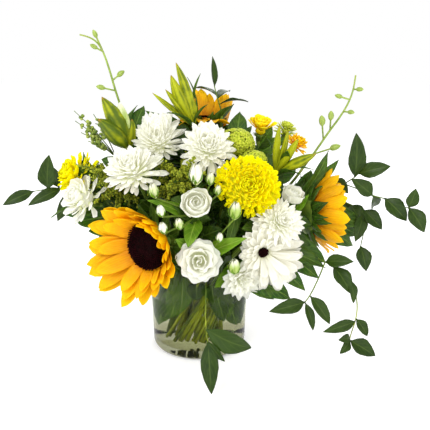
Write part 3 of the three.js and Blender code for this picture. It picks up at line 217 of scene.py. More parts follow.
def push_from_head(stem, i, centre, radius):
    """Pushes stretch i of a stem out of a bloom that it doesn't carry."""
    p = stem["points"]
    s, _ = nearest_shares(p[i], p[i + 1], centre, centre + (0, 0, 0.1))
    out = p[i] + (p[i + 1] - p[i]) * s - centre
    length = np.linalg.norm(out)
    short = radius + stem["radius"] + 1 - length
    if short <= 0:
        return
    out *= short * 0.5 / length
    for k, share in ((i, 1 - s), (i + 1, s)):
        if is_free(k):
            p[k] += out * share


def route_stems():
    """Bends the stems clear of each other and of the blooms that they don't carry."""
    stems = []
    for name, (depth, radius) in BLOOM_STEMS.items():
        stems.append({"name": name, "radius": radius, "end": behind(name, depth), "along": head_facing(name)})
    for name, (end, along, radius) in SPRAY_STEMS.items():
        stems.append({"name": name, "radius": radius, "end": np.array(end, float), "along": unit(along)})
    for stem in stems:
        stem["mouth"] = mouth_point(stem["end"])
    spread_mouth(stems)
    turn = complex(math.cos(math.radians(-STEM_TWIST)), math.sin(math.radians(-STEM_TWIST)))
    for stem in stems:
        flat = stem["mouth"]
        mouth = np.array((flat.real, flat.imag, NECK_LEVEL))
        foot = flat * turn * FOOT_SHARE
        arrival = stem["end"] - ARRIVAL * stem["along"]
        turning = mouth + (arrival - mouth) * TURNING_OUT
        turning[2] = mouth[2] + (arrival[2] - mouth[2]) * TURNING_UP
        shares = np.arange(1, FREE_POINTS + 1)[:, None] / (FREE_POINTS + 1)
        sweep = mouth * (1 - shares) ** 2 + 2 * turning * shares * (1 - shares) + arrival * shares ** 2
        stem["points"] = np.vstack([(foot.real, foot.imag, FOOT_LEVEL), mouth, sweep, arrival, stem["end"]])
    heads = [
        (name, head_at(name) + 0.3 * radius * head_facing(name), 0.8 * radius)
        for name, (_, _, radius) in HEADS.items()
    ]
    stretches = range(1, FREE_POINTS + 3)
    pairs = [
        (a, b, i, j)
        for a in range(len(stems)) for b in range(a + 1, len(stems)) for i in stretches for j in stretches
    ]
    first, second, i_of, j_of = np.array(pairs).T
    radii = np.array([stem["radius"] for stem in stems])
    needs = radii[first] + radii[second] + STEM_GAP
    for _ in range(ROUTING_ROUNDS):
        for stem in stems:
            for i in range(2, 2 + FREE_POINTS):
                middle = (stem["points"][i - 1] + stem["points"][i + 1]) / 2
                stem["points"][i] += (middle - stem["points"][i]) * STRAIGHTENING
        points = np.array([stem["points"] for stem in stems])
        a0, a1 = points[first, i_of], points[first, i_of + 1]
        b0, b1 = points[second, j_of], points[second, j_of + 1]
        s, t = nearest_shares(a0, a1, b0, b1)
        gaps = np.linalg.norm(a0 + (a1 - a0) * s[:, None] - b0 - (b1 - b0) * t[:, None], axis=-1)
        close = np.nonzero(gaps < needs + LOOK_AROUND)[0]
        at = 0
        for index, stem in enumerate(stems):
            while at < len(close) and first[close[at]] == index:
                k = close[at]
                part_stretches(stem, stems[second[k]], i_of[k], j_of[k])
                at += 1
            for name, centre, radius in heads:
                if name == stem["name"] or np.abs(points[index] - centre).max(1).min() > FAR_FROM_A_HEAD:
                    continue
                for i in stretches:
                    push_from_head(stem, i, centre, radius)
    return {stem["name"]: stem for stem in stems}


STEMS = route_stems()


def stem_points(name):
    return STEMS[name]["points"]


def on_line(line, place):
    """The point of a list of points at a place counted in points."""
    line = np.asarray(line, float)
    index = min(int(place), len(line) - 2)
    return line[index] + (line[index + 1] - line[index]) * (place - index)


# ---------------------------------------------------------------- meshes

class Skin:
    """Collects sheets of points into one mesh. Each point keeps its place on its petal or leaf."""

    def __init__(self):
        self.points, self.faces, self.spots, self.tints = [], [], [], []
        self.count = 0

    def sheet(self, grid, tint=0.5, wrap=False, matrix=None):
        """Adds a grid of points, [along, across, xyz]. With wrap, the last column joins the first."""
        rows, columns = grid.shape[:2]
        flat = grid.reshape(-1, 3)
        if matrix is not None:
            flat = flat @ matrix[:3, :3].T + matrix[:3, 3]
        index = self.count + np.arange(rows * columns).reshape(rows, columns)
        if wrap:
            index = np.concatenate([index, index[:, :1]], axis=1)
        corners = (index[:-1, :-1], index[1:, :-1], index[1:, 1:], index[:-1, 1:])
        self.faces.append(np.stack(corners, axis=-1).reshape(-1, 4))
        across, along = np.meshgrid(np.linspace(0, 1, columns), np.linspace(0, 1, rows))
        self.points.append(flat)
        self.spots.append(np.stack([across, along], axis=-1).reshape(-1, 2))
        self.tints.append(np.full(rows * columns, tint))
        self.count += rows * columns

    def build(self, name, look, node, thickness=0.0):
        """Makes the piece in a material's look. It stands for a node. thickness is a petal's or leaf's."""
        mesh = bpy.data.meshes.new(name)
        points = np.concatenate(self.points) * MM
        mesh.from_pydata(points, [], np.concatenate(self.faces))
        spots = np.concatenate(self.spots)
        corner_of = np.zeros(len(mesh.loops), np.int32)
        mesh.loops.foreach_get("vertex_index", corner_of)
        layer = mesh.uv_layers.new(name="petal")
        layer.data.foreach_set("uv", spots[corner_of].ravel().astype(np.float32))
        tints = mesh.attributes.new("tint", "FLOAT", "POINT")
        tints.data.foreach_set("value", np.concatenate(self.tints).astype(np.float32))
        mesh.polygons.foreach_set("use_smooth", np.ones(len(mesh.polygons), bool))
        mesh.materials.append(MATERIALS[look])
        piece = bpy.data.objects.new(name, mesh)
        bpy.context.scene.collection.objects.link(piece)
        if thickness:
            solid = piece.modifiers.new("thickness", "SOLIDIFY")
            solid.thickness = thickness * MM
            solid.offset = 0
        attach(piece, "root")
        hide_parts(node)
        return piece


def turn_z(angle):
    cos, sin = math.cos(angle), math.sin(angle)
    matrix = np.eye(4)
    matrix[:2, :2] = (cos, -sin), (sin, cos)
    return matrix


def shift(x, y, z):
    matrix = np.eye(4)
    matrix[:3, 3] = x, y, z
    return matrix


def facing_frame(at, facing):
    """The frame at a point whose +Z looks along `facing`."""
    turn = Vector((0, 0, 1)).rotation_difference(Vector(facing))
    matrix = np.eye(4)
    matrix[:3, :3] = np.array(turn.to_matrix())
    matrix[:3, 3] = at
    return matrix


def head_frame(name):
    return facing_frame(head_at(name), head_facing(name))


def smooth_line(points):
    """Rounds a line's corners twice and keeps its ends."""
    points = np.asarray(points, float)
    for _ in range(2):
        cut = np.empty((2 * len(points) - 2, 3))
        cut[0::2] = points[:-1] * 0.75 + points[1:] * 0.25
        cut[1::2] = points[:-1] * 0.25 + points[1:] * 0.75
        points = np.vstack([points[0], cut[1:-1], points[-1]])
    return points


def tube(points, radii, sides=8):
    """A grid round a line of points. radii holds one radius for each point."""
    points = np.asarray(points, float)
    tangents = np.gradient(points, axis=0)
    tangents /= np.linalg.norm(tangents, axis=1)[:, None]
    start = np.array((0, 0, 1.0)) if abs(tangents[0, 2]) < 0.9 else np.array((1.0, 0, 0))
    normal = np.cross(np.cross(tangents[0], start), tangents[0])
    angles = np.arange(sides) * 2 * math.pi / sides
    rings = []
    for point, tangent, radius in zip(points, tangents, radii):
        normal = normal - tangent * normal.dot(tangent)
        normal /= np.linalg.norm(normal)
        side = np.cross(tangent, normal)
        rings.append(point + radius * (np.outer(np.cos(angles), normal) - np.outer(np.sin(angles), side)))
    return np.array(rings)


def closed_tube(points, radius, sides=8, taper=1.0):
    """A tube whose ends are drawn in to a point."""
    points = np.asarray(points, float)
    first = points[0] + (points[1] - points[0]) * 0.01
    last = points[-1] + (points[-2] - points[-1]) * 0.01
    line = np.vstack([points[0], first, points[1:-1], last, points[-1]])
    radii = np.linspace(radius, radius * taper, len(line))
    radii[[0, -1]] = 0.02
    return tube(line, radii, sides)


def pod(root, tip, profile, sides=10, ridges=0, ridge_depth=0.0, bend=(0, 0, 0)):
    """A grid round the straight from root to tip. profile lists (share along, radius)."""
    shares = np.array([share for share, _ in profile])
    radii = np.array([radius for _, radius in profile])
    line = root + (tip - root) * shares[:, None] + np.outer(np.sin(math.pi * shares), bend)
    grid = tube(line, radii, sides)
    if ridges:
        wave = 1 + ridge_depth * np.cos(ridges * np.arange(sides) * 2 * math.pi / sides)
        grid = line[:, None] + (grid - line[:, None]) * wave[None, :, None]
    return grid


def outline(*stations):
    """The width along a petal, 0 to 1, from (share, width) stations."""
    shares, widths = zip(*stations)
    return lambda t: np.interp(t, shares, widths)


STRAP = outline((0, 0.3), (0.3, 0.62), (0.6, 0.95), (0.78, 1), (0.9, 0.82), (0.96, 0.55), (1, 0.12))
POINTED = outline((0, 0.35), (0.25, 0.55), (0.55, 0.9), (0.74, 1), (0.87, 0.78), (0.95, 0.46), (1, 0.06))
SPOON = outline((0, 0.28), (0.3, 0.5), (0.6, 0.88), (0.8, 1), (0.92, 0.78), (0.97, 0.5), (1, 0.14))
RAY = outline((0, 0.6), (0.18, 0.88), (0.42, 1), (0.68, 0.93), (0.86, 0.66), (0.95, 0.36), (1, 0.05))
LEAF = outline(
    (0, 0.06), (0.08, 0.1), (0.2, 0.6), (0.36, 0.97), (0.5, 1), (0.7, 0.8), (0.86, 0.46), (1, 0.02),
)
LANCE = outline(
    (0, 0.08), (0.06, 0.12), (0.18, 0.6), (0.35, 0.98), (0.5, 1), (0.72, 0.72), (0.88, 0.36), (1, 0.02),
)
BRACT = outline((0, 0.9), (0.25, 1), (0.5, 0.8), (0.75, 0.42), (1, 0.02))
TEETH = 7


def petal(
    length, width, lift, shape, rows=9, columns=5, cup=0.2, sway=0.0, crease=0.0, ruffle=0.0, waves=3.0,
    phase=0.0, curl=0.0, jag=0.0,
):
    """A petal or leaf from its root at the origin along +X, its upper face towards +Z.

    Its slope goes from lift[0] to lift[1] degrees. cup raises its edges, crease sinks its middle, ruffle
    waves its edges, curl turns its tip up by degrees, and jag cuts teeth in its edges.
    """
    t = np.linspace(0, 1, rows)[:, None]
    across = np.linspace(-1, 1, columns)[None, :]
    slope = np.radians(lift[0] + (lift[1] - lift[0]) * t + curl * np.clip((t - 0.6) / 0.4, 0, 1) ** 2)
    step = length / (rows - 1)
    middle = (slope[1:] + slope[:-1]) / 2
    along = np.vstack([[[0.0]], np.cumsum(np.cos(middle), axis=0) * step])
    up = np.vstack([[[0.0]], np.cumsum(np.sin(middle), axis=0) * step])
    teeth = 1 - jag * np.abs(((t * TEETH) % 1) - 0.35)
    half = shape(t) * width / 2 * teeth
    height = cup * half * across ** 2 - crease * np.exp(-((across / 0.3) ** 2)) * np.sin(math.pi * t)
    height = height + ruffle * np.abs(across) ** 1.5 * np.sin(2 * math.pi * waves * t + phase + across)
    x = along - height * np.sin(slope)
    y = across * half + sway * t * t
    z = up + height * np.cos(slope)
    return np.stack([x + 0 * across, y, z + 0 * across], axis=-1)


# ---------------------------------------------------------------- materials

class Tree:
    """Short ways to add nodes to a node tree."""

    def __init__(self, tree):
        self.tree = tree

    def node(self, kind, inputs=None, **settings):
        made = self.tree.nodes.new("ShaderNode" + kind)
        for key, value in settings.items():
            setattr(made, key, value)
        for key, value in (inputs or {}).items():
            self.feed(made.inputs[key], value)
        return made

    def feed(self, socket, value):
        if isinstance(value, bpy.types.NodeSocket):
            self.tree.links.new(value, socket)
        else:
            socket.default_value = value

    def math(self, operation, a, b=0.0):
        return self.node("Math", {0: a, 1: b}, operation=operation).outputs[0]

    def plus(self, a, b):
        return self.math("ADD", a, b)

    def minus(self, a, b):
        return self.math("SUBTRACT", a, b)

    def times(self, a, b):
        return self.math("MULTIPLY", a, b)

    def waves(self, place, count):
        """A sine wave, -1 to 1, that repeats `count` times over the place's 0 to 1."""
        return self.math("SINE", self.times(place, self.times(count, 2 * math.pi)))

    def mix(self, share, a, b):
        return self.node("Mix", {0: share, 6: a, 7: b}, data_type="RGBA").outputs[2]

    def brighten(self, colour, level):
        return self.node("HueSaturation", {"Value": level, "Color": colour}).outputs["Color"]

    def ease(self, value, low, high, start=0.0, end=1.0):
        return self.node(
            "MapRange",
            {"Value": value, "From Min": low, "From Max": high, "To Min": start, "To Max": end},
            interpolation_type="SMOOTHSTEP",
        ).outputs["Result"]

    def spot(self):
        """The point of the object, in metres."""
        return self.node("TexCoord").outputs["Object"]

    def height(self):
        return self.node("SeparateXYZ", {"Vector": self.spot()}).outputs["Z"]

    def noise(self, scale, detail=2.0):
        return self.node("TexNoise", {"Scale": scale, "Detail": detail, "Vector": self.spot()}).outputs["Fac"]

    def tint(self):
        """The petal's, leaf's or stem's own tint, 0 to 1."""
        return self.node("Attribute", attribute_name="tint").outputs["Fac"]

    def place(self):
        """Across and along on the petal or leaf, each 0 to 1."""
        spot = self.node("UVMap", uv_map="petal").outputs["UV"]
        parts = self.node("SeparateXYZ", {"Vector": spot})
        return parts.outputs["X"], parts.outputs["Y"]


COLOUR, NUMBER = "NodeSocketColor", "NodeSocketFloat"
BLACK = (0, 0, 0, 1)


def effect(name, inputs):
    """A node group that puts out a colour and a height. Inputs given as BLACK are colours, others numbers."""
    group = bpy.data.node_groups.new(name, "ShaderNodeTree")
    for label, value in inputs.items():
        kind = COLOUR if value == BLACK else NUMBER
        group.interface.new_socket(name=label, in_out="INPUT", socket_type=kind).default_value = value
    for label, kind in (("Color", COLOUR), ("Height", NUMBER)):
        group.interface.new_socket(name=label, in_out="OUTPUT", socket_type=kind)
    source = group.nodes.new("NodeGroupInput")
    sink = group.nodes.new("NodeGroupOutput")
    return group, Tree(group), source.outputs, sink.inputs


# In metres. Painted light: the leaves low in the vase are painted brighter, and the stems paler below the
# water, in place of the lamps' light that doesn't reach them through the glass.
LIT_BELOW, LIT_FADE, PAINTED_STEM_LIGHT_FADE = 0.092, 0.02, 0.03


def make_petal_look():
    """Petals: root, body and tip colours, fine veins along them, and a tint of each petal's own."""
    group, tree, given, result = effect("petal_look", {
        "Root": BLACK, "Body": BLACK, "Tip": BLACK, "Root reach": 0.3, "Tip start": 0.7, "Veins": 9,
        "Vein depth": 0.1,
    })
    across, along = tree.place()
    blotch = tree.noise(160.0)
    shifted = tree.plus(along, tree.times(tree.minus(blotch, 0.5), 0.25))
    colour = tree.mix(tree.ease(shifted, 0.0, given["Root reach"]), given["Root"], given["Body"])
    colour = tree.mix(tree.ease(shifted, given["Tip start"], 1.0), colour, given["Tip"])
    vein = tree.ease(tree.waves(across, given["Veins"]), 0.2, 1.0)
    level = tree.plus(0.88, tree.times(tree.tint(), 0.2))
    level = tree.minus(level, tree.times(vein, given["Vein depth"]))
    level = tree.plus(level, tree.times(tree.minus(blotch, 0.5), 0.12))
    tree.feed(result["Color"], tree.brighten(colour, level))
    tree.feed(result["Height"], tree.plus(tree.times(vein, -0.6), tree.times(tree.noise(900.0), 0.3)))
    return group


def make_leaf_look():
    """Leaves: a pale midrib, slanting side veins, mottled green between them, and painted light that
    brightens the leaves low in the vase.
    """
    group, tree, given, result = effect("leaf_look", {
        "Dark": BLACK, "Light": BLACK, "Rib": BLACK, "Veins": 8, "Slant": 0.5, "Painted light gain": 0,
    })
    across, along = tree.place()
    off = tree.math("ABSOLUTE", tree.minus(across, 0.5))
    slanted = tree.minus(along, tree.times(off, given["Slant"]))
    side_vein = tree.ease(tree.waves(slanted, given["Veins"]), 0.72, 1.0)
    rib = tree.ease(off, 0.05, 0.02)
    mottle = tree.ease(tree.noise(110.0, 4.0), 0.3, 0.7)
    tint = tree.tint()
    colour = tree.mix(tree.times(mottle, 0.6), given["Dark"], given["Light"])
    colour = tree.mix(tree.times(tint, 0.5), colour, given["Light"])
    colour = tree.mix(tree.times(side_vein, 0.3), colour, given["Rib"])
    colour = tree.mix(tree.times(rib, 0.75), colour, given["Rib"])
    # Painted light: leaves below LIT_BELOW are painted brighter by the gain, in place of light that the glass
    # keeps out.
    lit = tree.ease(tree.height(), LIT_BELOW + LIT_FADE, LIT_BELOW)
    gain = tree.times(tree.times(lit, tree.ease(tint, 0.1, 0.9, 0.2, 1.0)), given["Painted light gain"])
    tree.feed(result["Color"], tree.brighten(colour, tree.plus(gain, 1.0)))
    bumps = tree.plus(tree.times(rib, 0.8), tree.times(side_vein, -0.5))
    tree.feed(result["Height"], tree.plus(bumps, tree.times(tree.noise(700.0), 0.3)))
    return group


def make_stem_look():
    """Stems, buds and florets: streaks along them and mottling, and painted light that makes the stems paler
    low in the vase, in the water.
    """
    group, tree, given, result = effect("stem_look", {
        "Dark": BLACK, "Light": BLACK, "Tip": BLACK, "Tip start": 0.7, "Mottle size": 120, "Painted light colour": BLACK,
        "Painted light below": -1,
    })
    across, along = tree.place()
    streaks = tree.math("SINE", tree.times(across, 12 * math.pi))
    share = tree.plus(tree.times(streaks, 0.12), tree.noise(given["Mottle size"], 3.0))
    share = tree.plus(share, tree.times(tree.minus(tree.tint(), 0.5), 0.6))
    colour = tree.mix(tree.ease(share, 0.25, 0.75), given["Dark"], given["Light"])
    colour = tree.mix(tree.ease(along, given["Tip start"], 1.0), colour, given["Tip"])
    # Painted light: the stems' part in the water is painted paler, in place of light that the glass keeps
    # out.
    painted_light = tree.ease(tree.height(), tree.plus(given["Painted light below"], PAINTED_STEM_LIGHT_FADE), given["Painted light below"])
    painted_light = tree.times(painted_light, tree.ease(share, 0.25, 0.75, 0.12, 1.0))
    tree.feed(result["Color"], tree.mix(painted_light, colour, given["Painted light colour"]))
    tree.feed(result["Height"], share)
    return group


# Each look's node group and the inputs that its materials give, in their order.
LOOKS = {
    "petal": (make_petal_look(), ("Root", "Body", "Tip", "Root reach", "Tip start", "Veins", "Vein depth")),
    "leaf": (make_leaf_look(), ("Dark", "Light", "Rib", "Veins", "Slant", "Painted light gain")),
    "stem": (make_stem_look(), ("Dark", "Light", "Tip", "Tip start", "Mottle size", "Painted light colour", "Painted light below")),
}
ROUGHNESS_SPREAD = 0.1
BUMP_DEPTH = 0.0003
GLOW_DEPTH = 0.007
PAINTED_GLOW_COLOUR = (1.0, 0.98, 0.72, 1.0)  # the colour of the petals' painted glow: painted light that stands in for light coming through a thin pale petal from behind it


def start_material(name):
    made = bpy.data.materials.new(name)
    made.use_nodes = True
    return made, Tree(made.node_tree), made.node_tree.nodes["Principled BSDF"]


def material(
    name, look, values, roughness=0.5, bump=0.3, shine=0.2, subsurface=0.0, glow=(1.0, 1.0, 0.8), coat=0.0,
    painted_glow=0.0,
):
    """A plant material: a look's colour and height. Its roughness varies by ROUGHNESS_SPREAD. It may glow
    faintly: painted light that stands in for light shining through a thin petal.
    """
    made, tree, shader = start_material(name)
    group, labels = LOOKS[look]
    pattern = tree.node("Group", node_tree=group)
    for label, value in zip(labels, values):
        pattern.inputs[label].default_value = (*value, 1) if isinstance(value, tuple) else value
    tree.feed(shader.inputs["Base Color"], pattern.outputs["Color"])
    worn = tree.ease(tree.noise(240.0), 0.3, 0.7, roughness - ROUGHNESS_SPREAD, roughness + ROUGHNESS_SPREAD)
    tree.feed(shader.inputs["Roughness"], worn)
    height = pattern.outputs["Height"]
    normal = tree.node("Bump", {"Strength": bump, "Distance": BUMP_DEPTH, "Height": height}).outputs["Normal"]
    tree.feed(shader.inputs["Normal"], normal)
    shader.inputs["Specular IOR Level"].default_value = shine
    if subsurface:
        shader.inputs["Subsurface Weight"].default_value = subsurface
        shader.inputs["Subsurface Radius"].default_value = glow
        shader.inputs["Subsurface Scale"].default_value = GLOW_DEPTH
    # Painted light: a faint glow on the petal, in place of light shining through it.
    if painted_glow:
        shader.inputs["Emission Color"].default_value = PAINTED_GLOW_COLOUR
        shader.inputs["Emission Strength"].default_value = painted_glow
    if coat:
        shader.inputs["Coat Weight"].default_value = coat
        shader.inputs["Coat Roughness"].default_value = 0.25
    return made


THICK_BELOW, THICK_FADE = 0.002, 0.03  # metres: where the glass is thick, and so looks darker


def clear_material(name, tint, thick_tint, ior):
    """Glass or water: clear, tinted more where it is thick, with the faintest streaks."""
    made, tree, shader = start_material(name)
    thick = tree.ease(tree.height(), THICK_BELOW + THICK_FADE, THICK_BELOW)
    thick = tree.minus(thick, tree.times(tree.noise(30.0), 0.05))
    tree.feed(shader.inputs["Base Color"], tree.mix(thick, (*tint, 1), (*thick_tint, 1)))
    tree.feed(shader.inputs["Roughness"], tree.ease(tree.noise(80.0), 0.3, 0.7, 0.0, 0.01))
    shader.inputs["Transmission Weight"].default_value = 1.0
    shader.inputs["IOR"].default_value = ior
    return made


# How far red, green and blue light spread inside petals and leaves, as shares of GLOW_DEPTH.
PETAL_GLOW = (1.0, 1.0, 0.9)
LIME_GLOW = (0.7, 1.0, 0.3)
GOLD_GLOW = (1.0, 0.6, 0.1)
LEAF_GLOW = (0.5, 1.0, 0.2)
# Each material's name and look, the look's values in the order that LOOKS gives, and its finish.
MATERIALS = {
    "white": material("white_petal", "petal", (
        (0.58, 0.66, 0.16), (0.73, 0.73, 0.6), (0.77, 0.77, 0.68), 0.45, 0.6, 6.0, 0.04,
    ), roughness=0.55, subsurface=0.8, glow=PETAL_GLOW, painted_glow=0.13),
    "daisy": material("daisy_petal", "petal", (
        (0.56, 0.56, 0.28), (0.74, 0.72, 0.59), (0.78, 0.76, 0.65), 0.3, 0.6, 4.0, 0.08,
    ), roughness=0.55, subsurface=0.7, glow=PETAL_GLOW, painted_glow=0.1),
    "cream": material("lisianthus_petal", "petal", (
        (0.52, 0.6, 0.2), (0.65, 0.66, 0.52), (0.68, 0.69, 0.58), 0.4, 0.6, 8.0, 0.04,
    ), roughness=0.55, subsurface=0.8, glow=PETAL_GLOW, painted_glow=0.11),
    "yellow": material("yellow_petal", "petal", (
        (0.93, 0.6, 0.0), (0.97, 0.77, 0.0), (1.0, 0.86, 0.0), 0.35, 0.4, 3.0, 0.04,
    ), roughness=0.6, shine=0.1, subsurface=0.8, glow=(1.0, 0.8, 0.1)),
    "golden": material("golden_petal", "petal", (
        (0.8, 0.36, 0.0), (0.93, 0.6, 0.0), (0.96, 0.74, 0.01), 0.5, 0.5, 4.0, 0.06,
    ), roughness=0.6, shine=0.1, subsurface=0.4, glow=GOLD_GLOW),
    "orange": material("orange_petal", "petal", (
        (0.7, 0.22, 0.0), (0.92, 0.46, 0.0), (0.95, 0.6, 0.0), 0.5, 0.6, 5.0, 0.1,
    ), subsurface=0.2, glow=GOLD_GLOW),
    "ray": material("sunflower_ray", "petal", (
        (0.7, 0.17, 0.0), (0.85, 0.32, 0.0), (0.92, 0.43, 0.0), 0.5, 0.45, 7.0, 0.1,
    ), roughness=0.55, bump=0.5, shine=0.12, subsurface=0.4, glow=GOLD_GLOW),
    "lime": material("lime_floret", "petal", (
        (0.3, 0.41, 0.012), (0.49, 0.57, 0.03), (0.6, 0.67, 0.07), 0.4, 0.5, 3.0, 0.1,
    ), roughness=0.6, subsurface=0.15, glow=LIME_GLOW),
    "leaf": material("broad_leaf", "leaf", (
        (0.011, 0.034, 0.003), (0.06, 0.115, 0.006), (0.11, 0.18, 0.03), 8.0, 0.5, 1.3,
    ), bump=0.6, subsurface=0.1, glow=LEAF_GLOW),
    "bright_leaf": material("bright_leaf", "leaf", (
        (0.05, 0.13, 0.004), (0.15, 0.28, 0.01), (0.22, 0.34, 0.04), 6.0, 0.5,
    ), bump=0.5, subsurface=0.15, glow=LEAF_GLOW),
    "dark_leaf": material("spray_leaf", "leaf", (
        (0.011, 0.029, 0.002), (0.03, 0.062, 0.005), (0.05, 0.085, 0.012), 5.0, 0.9,
    ), roughness=0.42, bump=0.4, shine=0.15, coat=0.05),
    "stem": material("stem", "stem", (
        (0.05, 0.1, 0.008), (0.15, 0.22, 0.02), (0.15, 0.22, 0.02), 0.9, 90.0, (0.42, 0.47, 0.03), 0.075,
    ), roughness=0.55, bump=0.4),
    "disc": material("sunflower_disc", "stem", (
        (0.003, 0.001, 0.001), (0.014, 0.002, 0.003), (0.026, 0.004, 0.004), 0.7, 200.0,
    ), roughness=0.9, bump=0.6, shine=0.03),
    "bud": material("green_bud", "stem", (
        (0.07, 0.115, 0.003), (0.37, 0.4, 0.008), (0.26, 0.14, 0.01), 0.82, 60.0,
    ), roughness=0.45, subsurface=0.1, glow=LIME_GLOW),
    "orchid_bud": material("orchid_bud", "stem", (
        (0.16, 0.23, 0.04), (0.31, 0.4, 0.09), (0.3, 0.35, 0.07), 0.8, 90.0,
    ), roughness=0.45, subsurface=0.2, glow=LIME_GLOW),
    "pale_bud": material("pale_bud", "stem", (
        (0.33, 0.45, 0.09), (0.6, 0.66, 0.34), (0.74, 0.75, 0.58), 0.6, 90.0,
    ), subsurface=0.25, glow=PETAL_GLOW),
    "bead": material("bead", "stem", (
        (0.13, 0.2, 0.03), (0.36, 0.43, 0.09), (0.4, 0.44, 0.09), 0.85, 200.0,
    ), roughness=0.6, subsurface=0.1, glow=LIME_GLOW),
    "filler": material("filler_tuft", "stem", (
        (0.09, 0.13, 0.006), (0.35, 0.39, 0.025), (0.42, 0.43, 0.03), 0.8, 260.0,
    ), roughness=0.7, subsurface=0.1, glow=LIME_GLOW),
    "glass": clear_material("vase_glass", (0.84, 0.86, 0.77), (0.22, 0.21, 0.13), 1.2),
    "wet_glass": clear_material("wet_glass", (0.9, 0.91, 0.83), (0.68, 0.66, 0.5), 1.01),
    "water": clear_material("vase_water", (0.9, 0.92, 0.8), (0.9, 0.92, 0.8), 1.02),
}

# ---------------------------------------------------------------- blooms

FLAT = 0.35  # a petal's thickness
LEAF_THICK = 0.5
FLORET_THICK = 0.3

# Blooms whose petals reach further or less far to some sides: each direction and how much further.
LOPSIDED = {
    "white_mum_1": [((0, 0.35, 0.93), 1.5), ((-1, 0, 0), 0.2), ((1, 0, 0), -0.15)],
    "white_mum_2": [((-0.95, 0, 0.3), 0.3), ((0.25, -0.3, -0.92), -0.58), ((-0.75, 0, -0.65), -0.35)],
    "white_mum_3": [((-0.2, 0.4, 0.9), 0.3)],
    "white_mum_4": [((1, 0, -0.3), 0.25)],
    "white_mum_5": [((-1, 0, 0.2), 0.3), ((0.6, -0.4, -0.7), -0.25), ((0.95, -0.1, 0.3), -0.4)],
    "yellow_mum": [((-0.6, 0, -0.8), -0.7), ((-0.1, 0, 1), -0.3), ((1, 0, -0.3), 0.2)],
    "yellow_top": [((0, 0, 1), 0.3)],
    "sunflower_1": [((-0.93, 0, -0.36), 0.7), ((0.9, -0.3, -0.3), -0.34)],
    "white_daisy": [((0.66, 0, -0.75), 1.25), ((-1, 0, 0.1), -0.34)],
}


def further(name, out):
    """How many times longer a bloom's petal is that points `out`."""
    return 1 + sum(share * max(out @ unit(side), 0) ** 1.5 for side, share in LOPSIDED.get(name, []))


def dome_petals(skin, name, seed, kind):
    """Petals that stand all round a dome, each turned on by the golden angle."""
    count, shape, core, rise, length, width, spread, curls, untidy = kind
    draw = random.Random(seed)
    radius = HEADS[name][2]
    frame_of_head = head_frame(name)
    for i in range(count):
        share = i / (count - 1)
        tilt = math.radians(spread[0] + (spread[1] - spread[0]) * share ** 0.8)
        reach = core * radius * math.sin(min(tilt, math.pi / 2))
        height = rise * radius * math.cos(tilt) + 0.1 * radius
        slope = 90 - math.degrees(tilt) + draw.uniform(-untidy, untidy)
        turn = curls[0] + (curls[1] - curls[0]) * share + draw.uniform(-untidy, untidy) * 1.5
        size = (length[0] + (length[1] - length[0]) * share) * radius
        wide = (width[0] + (width[1] - width[0]) * share) * radius
        grid = petal(
            size * draw.uniform(0.88, 1.08), wide * draw.uniform(0.85, 1.12),
            (slope - 0.5 * turn, slope + 0.5 * turn), shape, rows=8, columns=5, cup=draw.uniform(0.15, 0.4),
            sway=draw.uniform(-0.01, 0.01) * untidy * radius, crease=0.25, ruffle=0.3, waves=1.5,
            phase=draw.uniform(0, 6), curl=draw.uniform(-4, 16),
        )
        stance = frame_of_head @ turn_z(i * GOLDEN_ANGLE + draw.uniform(-0.1, 0.1))
        longer = further(name, stance[:3, 0])
        if longer < 1:
            longer = 1 - (1 - longer) * (1 - share)  # the inner petals stay long, and so hide the core
        stretch = np.diag((longer, longer, longer, 1))
        skin.sheet(grid, draw.random(), matrix=stance @ shift(reach, 0, height) @ stretch)


def heart(skin, name, radius, height):
    """A small solid core inside a bloom, so that nothing shows through it."""
    at = head_at(name)
    profile = [
        (0, 0.1), (0.02, 0.6 * radius), (0.3, radius), (0.6, 0.85 * radius), (0.9, 0.4 * radius), (1, 0.1),
    ]
    skin.sheet(pod(at, at + head_frame(name)[:3, 2] * height, profile, 14), 0.4, wrap=True)


# How a bloom's petals stand: their count and outline, the dome's reach and rise, then the outermost and
# innermost petals' length, width, angle from the axis and curl, and how untidy they are in degrees. Reach,
# rise, length and width are shares of the bloom's radius.
FULL_MUM = (150, POINTED, 0.26, 0.36, (0.8, 0.3), (0.19, 0.13), (102, 8), (-20, 22), 6)
SHAGGY_MUM = (130, POINTED, 0.26, 0.36, (0.82, 0.36), (0.24, 0.17), (104, 8), (-26, 20), 9)
SMALL_MUM = (72, SPOON, 0.34, 0.44, (0.68, 0.44), (0.26, 0.2), (104, 8), (10, 34), 8)
BROAD_MUM = (58, SPOON, 0.4, 0.5, (0.86, 0.4), (0.5, 0.32), (104, 6), (24, 56), 6)
POMPON = (330, SPOON, 0.72, 0.66, (0.36, 0.26), (0.15, 0.13), (116, 2), (50, 84), 14)
CUPPED = (44, SPOON, 0.3, 0.38, (0.74, 0.55), (0.32, 0.26), (92, 8), (16, 30), 8)
CUP_MUM = (34, SPOON, 0.3, 0.3, (0.82, 0.52), (0.5, 0.36), (56, 6), (14, 28), 6)
# Each bloom's material and how its petals stand.
MUMS = {
    "white_mum_1": ("white", FULL_MUM), "white_mum_2": ("white", SHAGGY_MUM),
    "white_mum_3": ("white", SHAGGY_MUM), "white_mum_4": ("white", FULL_MUM),
    "white_mum_5": ("white", BROAD_MUM), "back_mum": ("white", FULL_MUM), "yellow_mum": ("yellow", POMPON),
    "yellow_left": ("yellow", BROAD_MUM), "yellow_top": ("golden", CUP_MUM),
    "orange_bloom": ("orange", CUPPED),
}

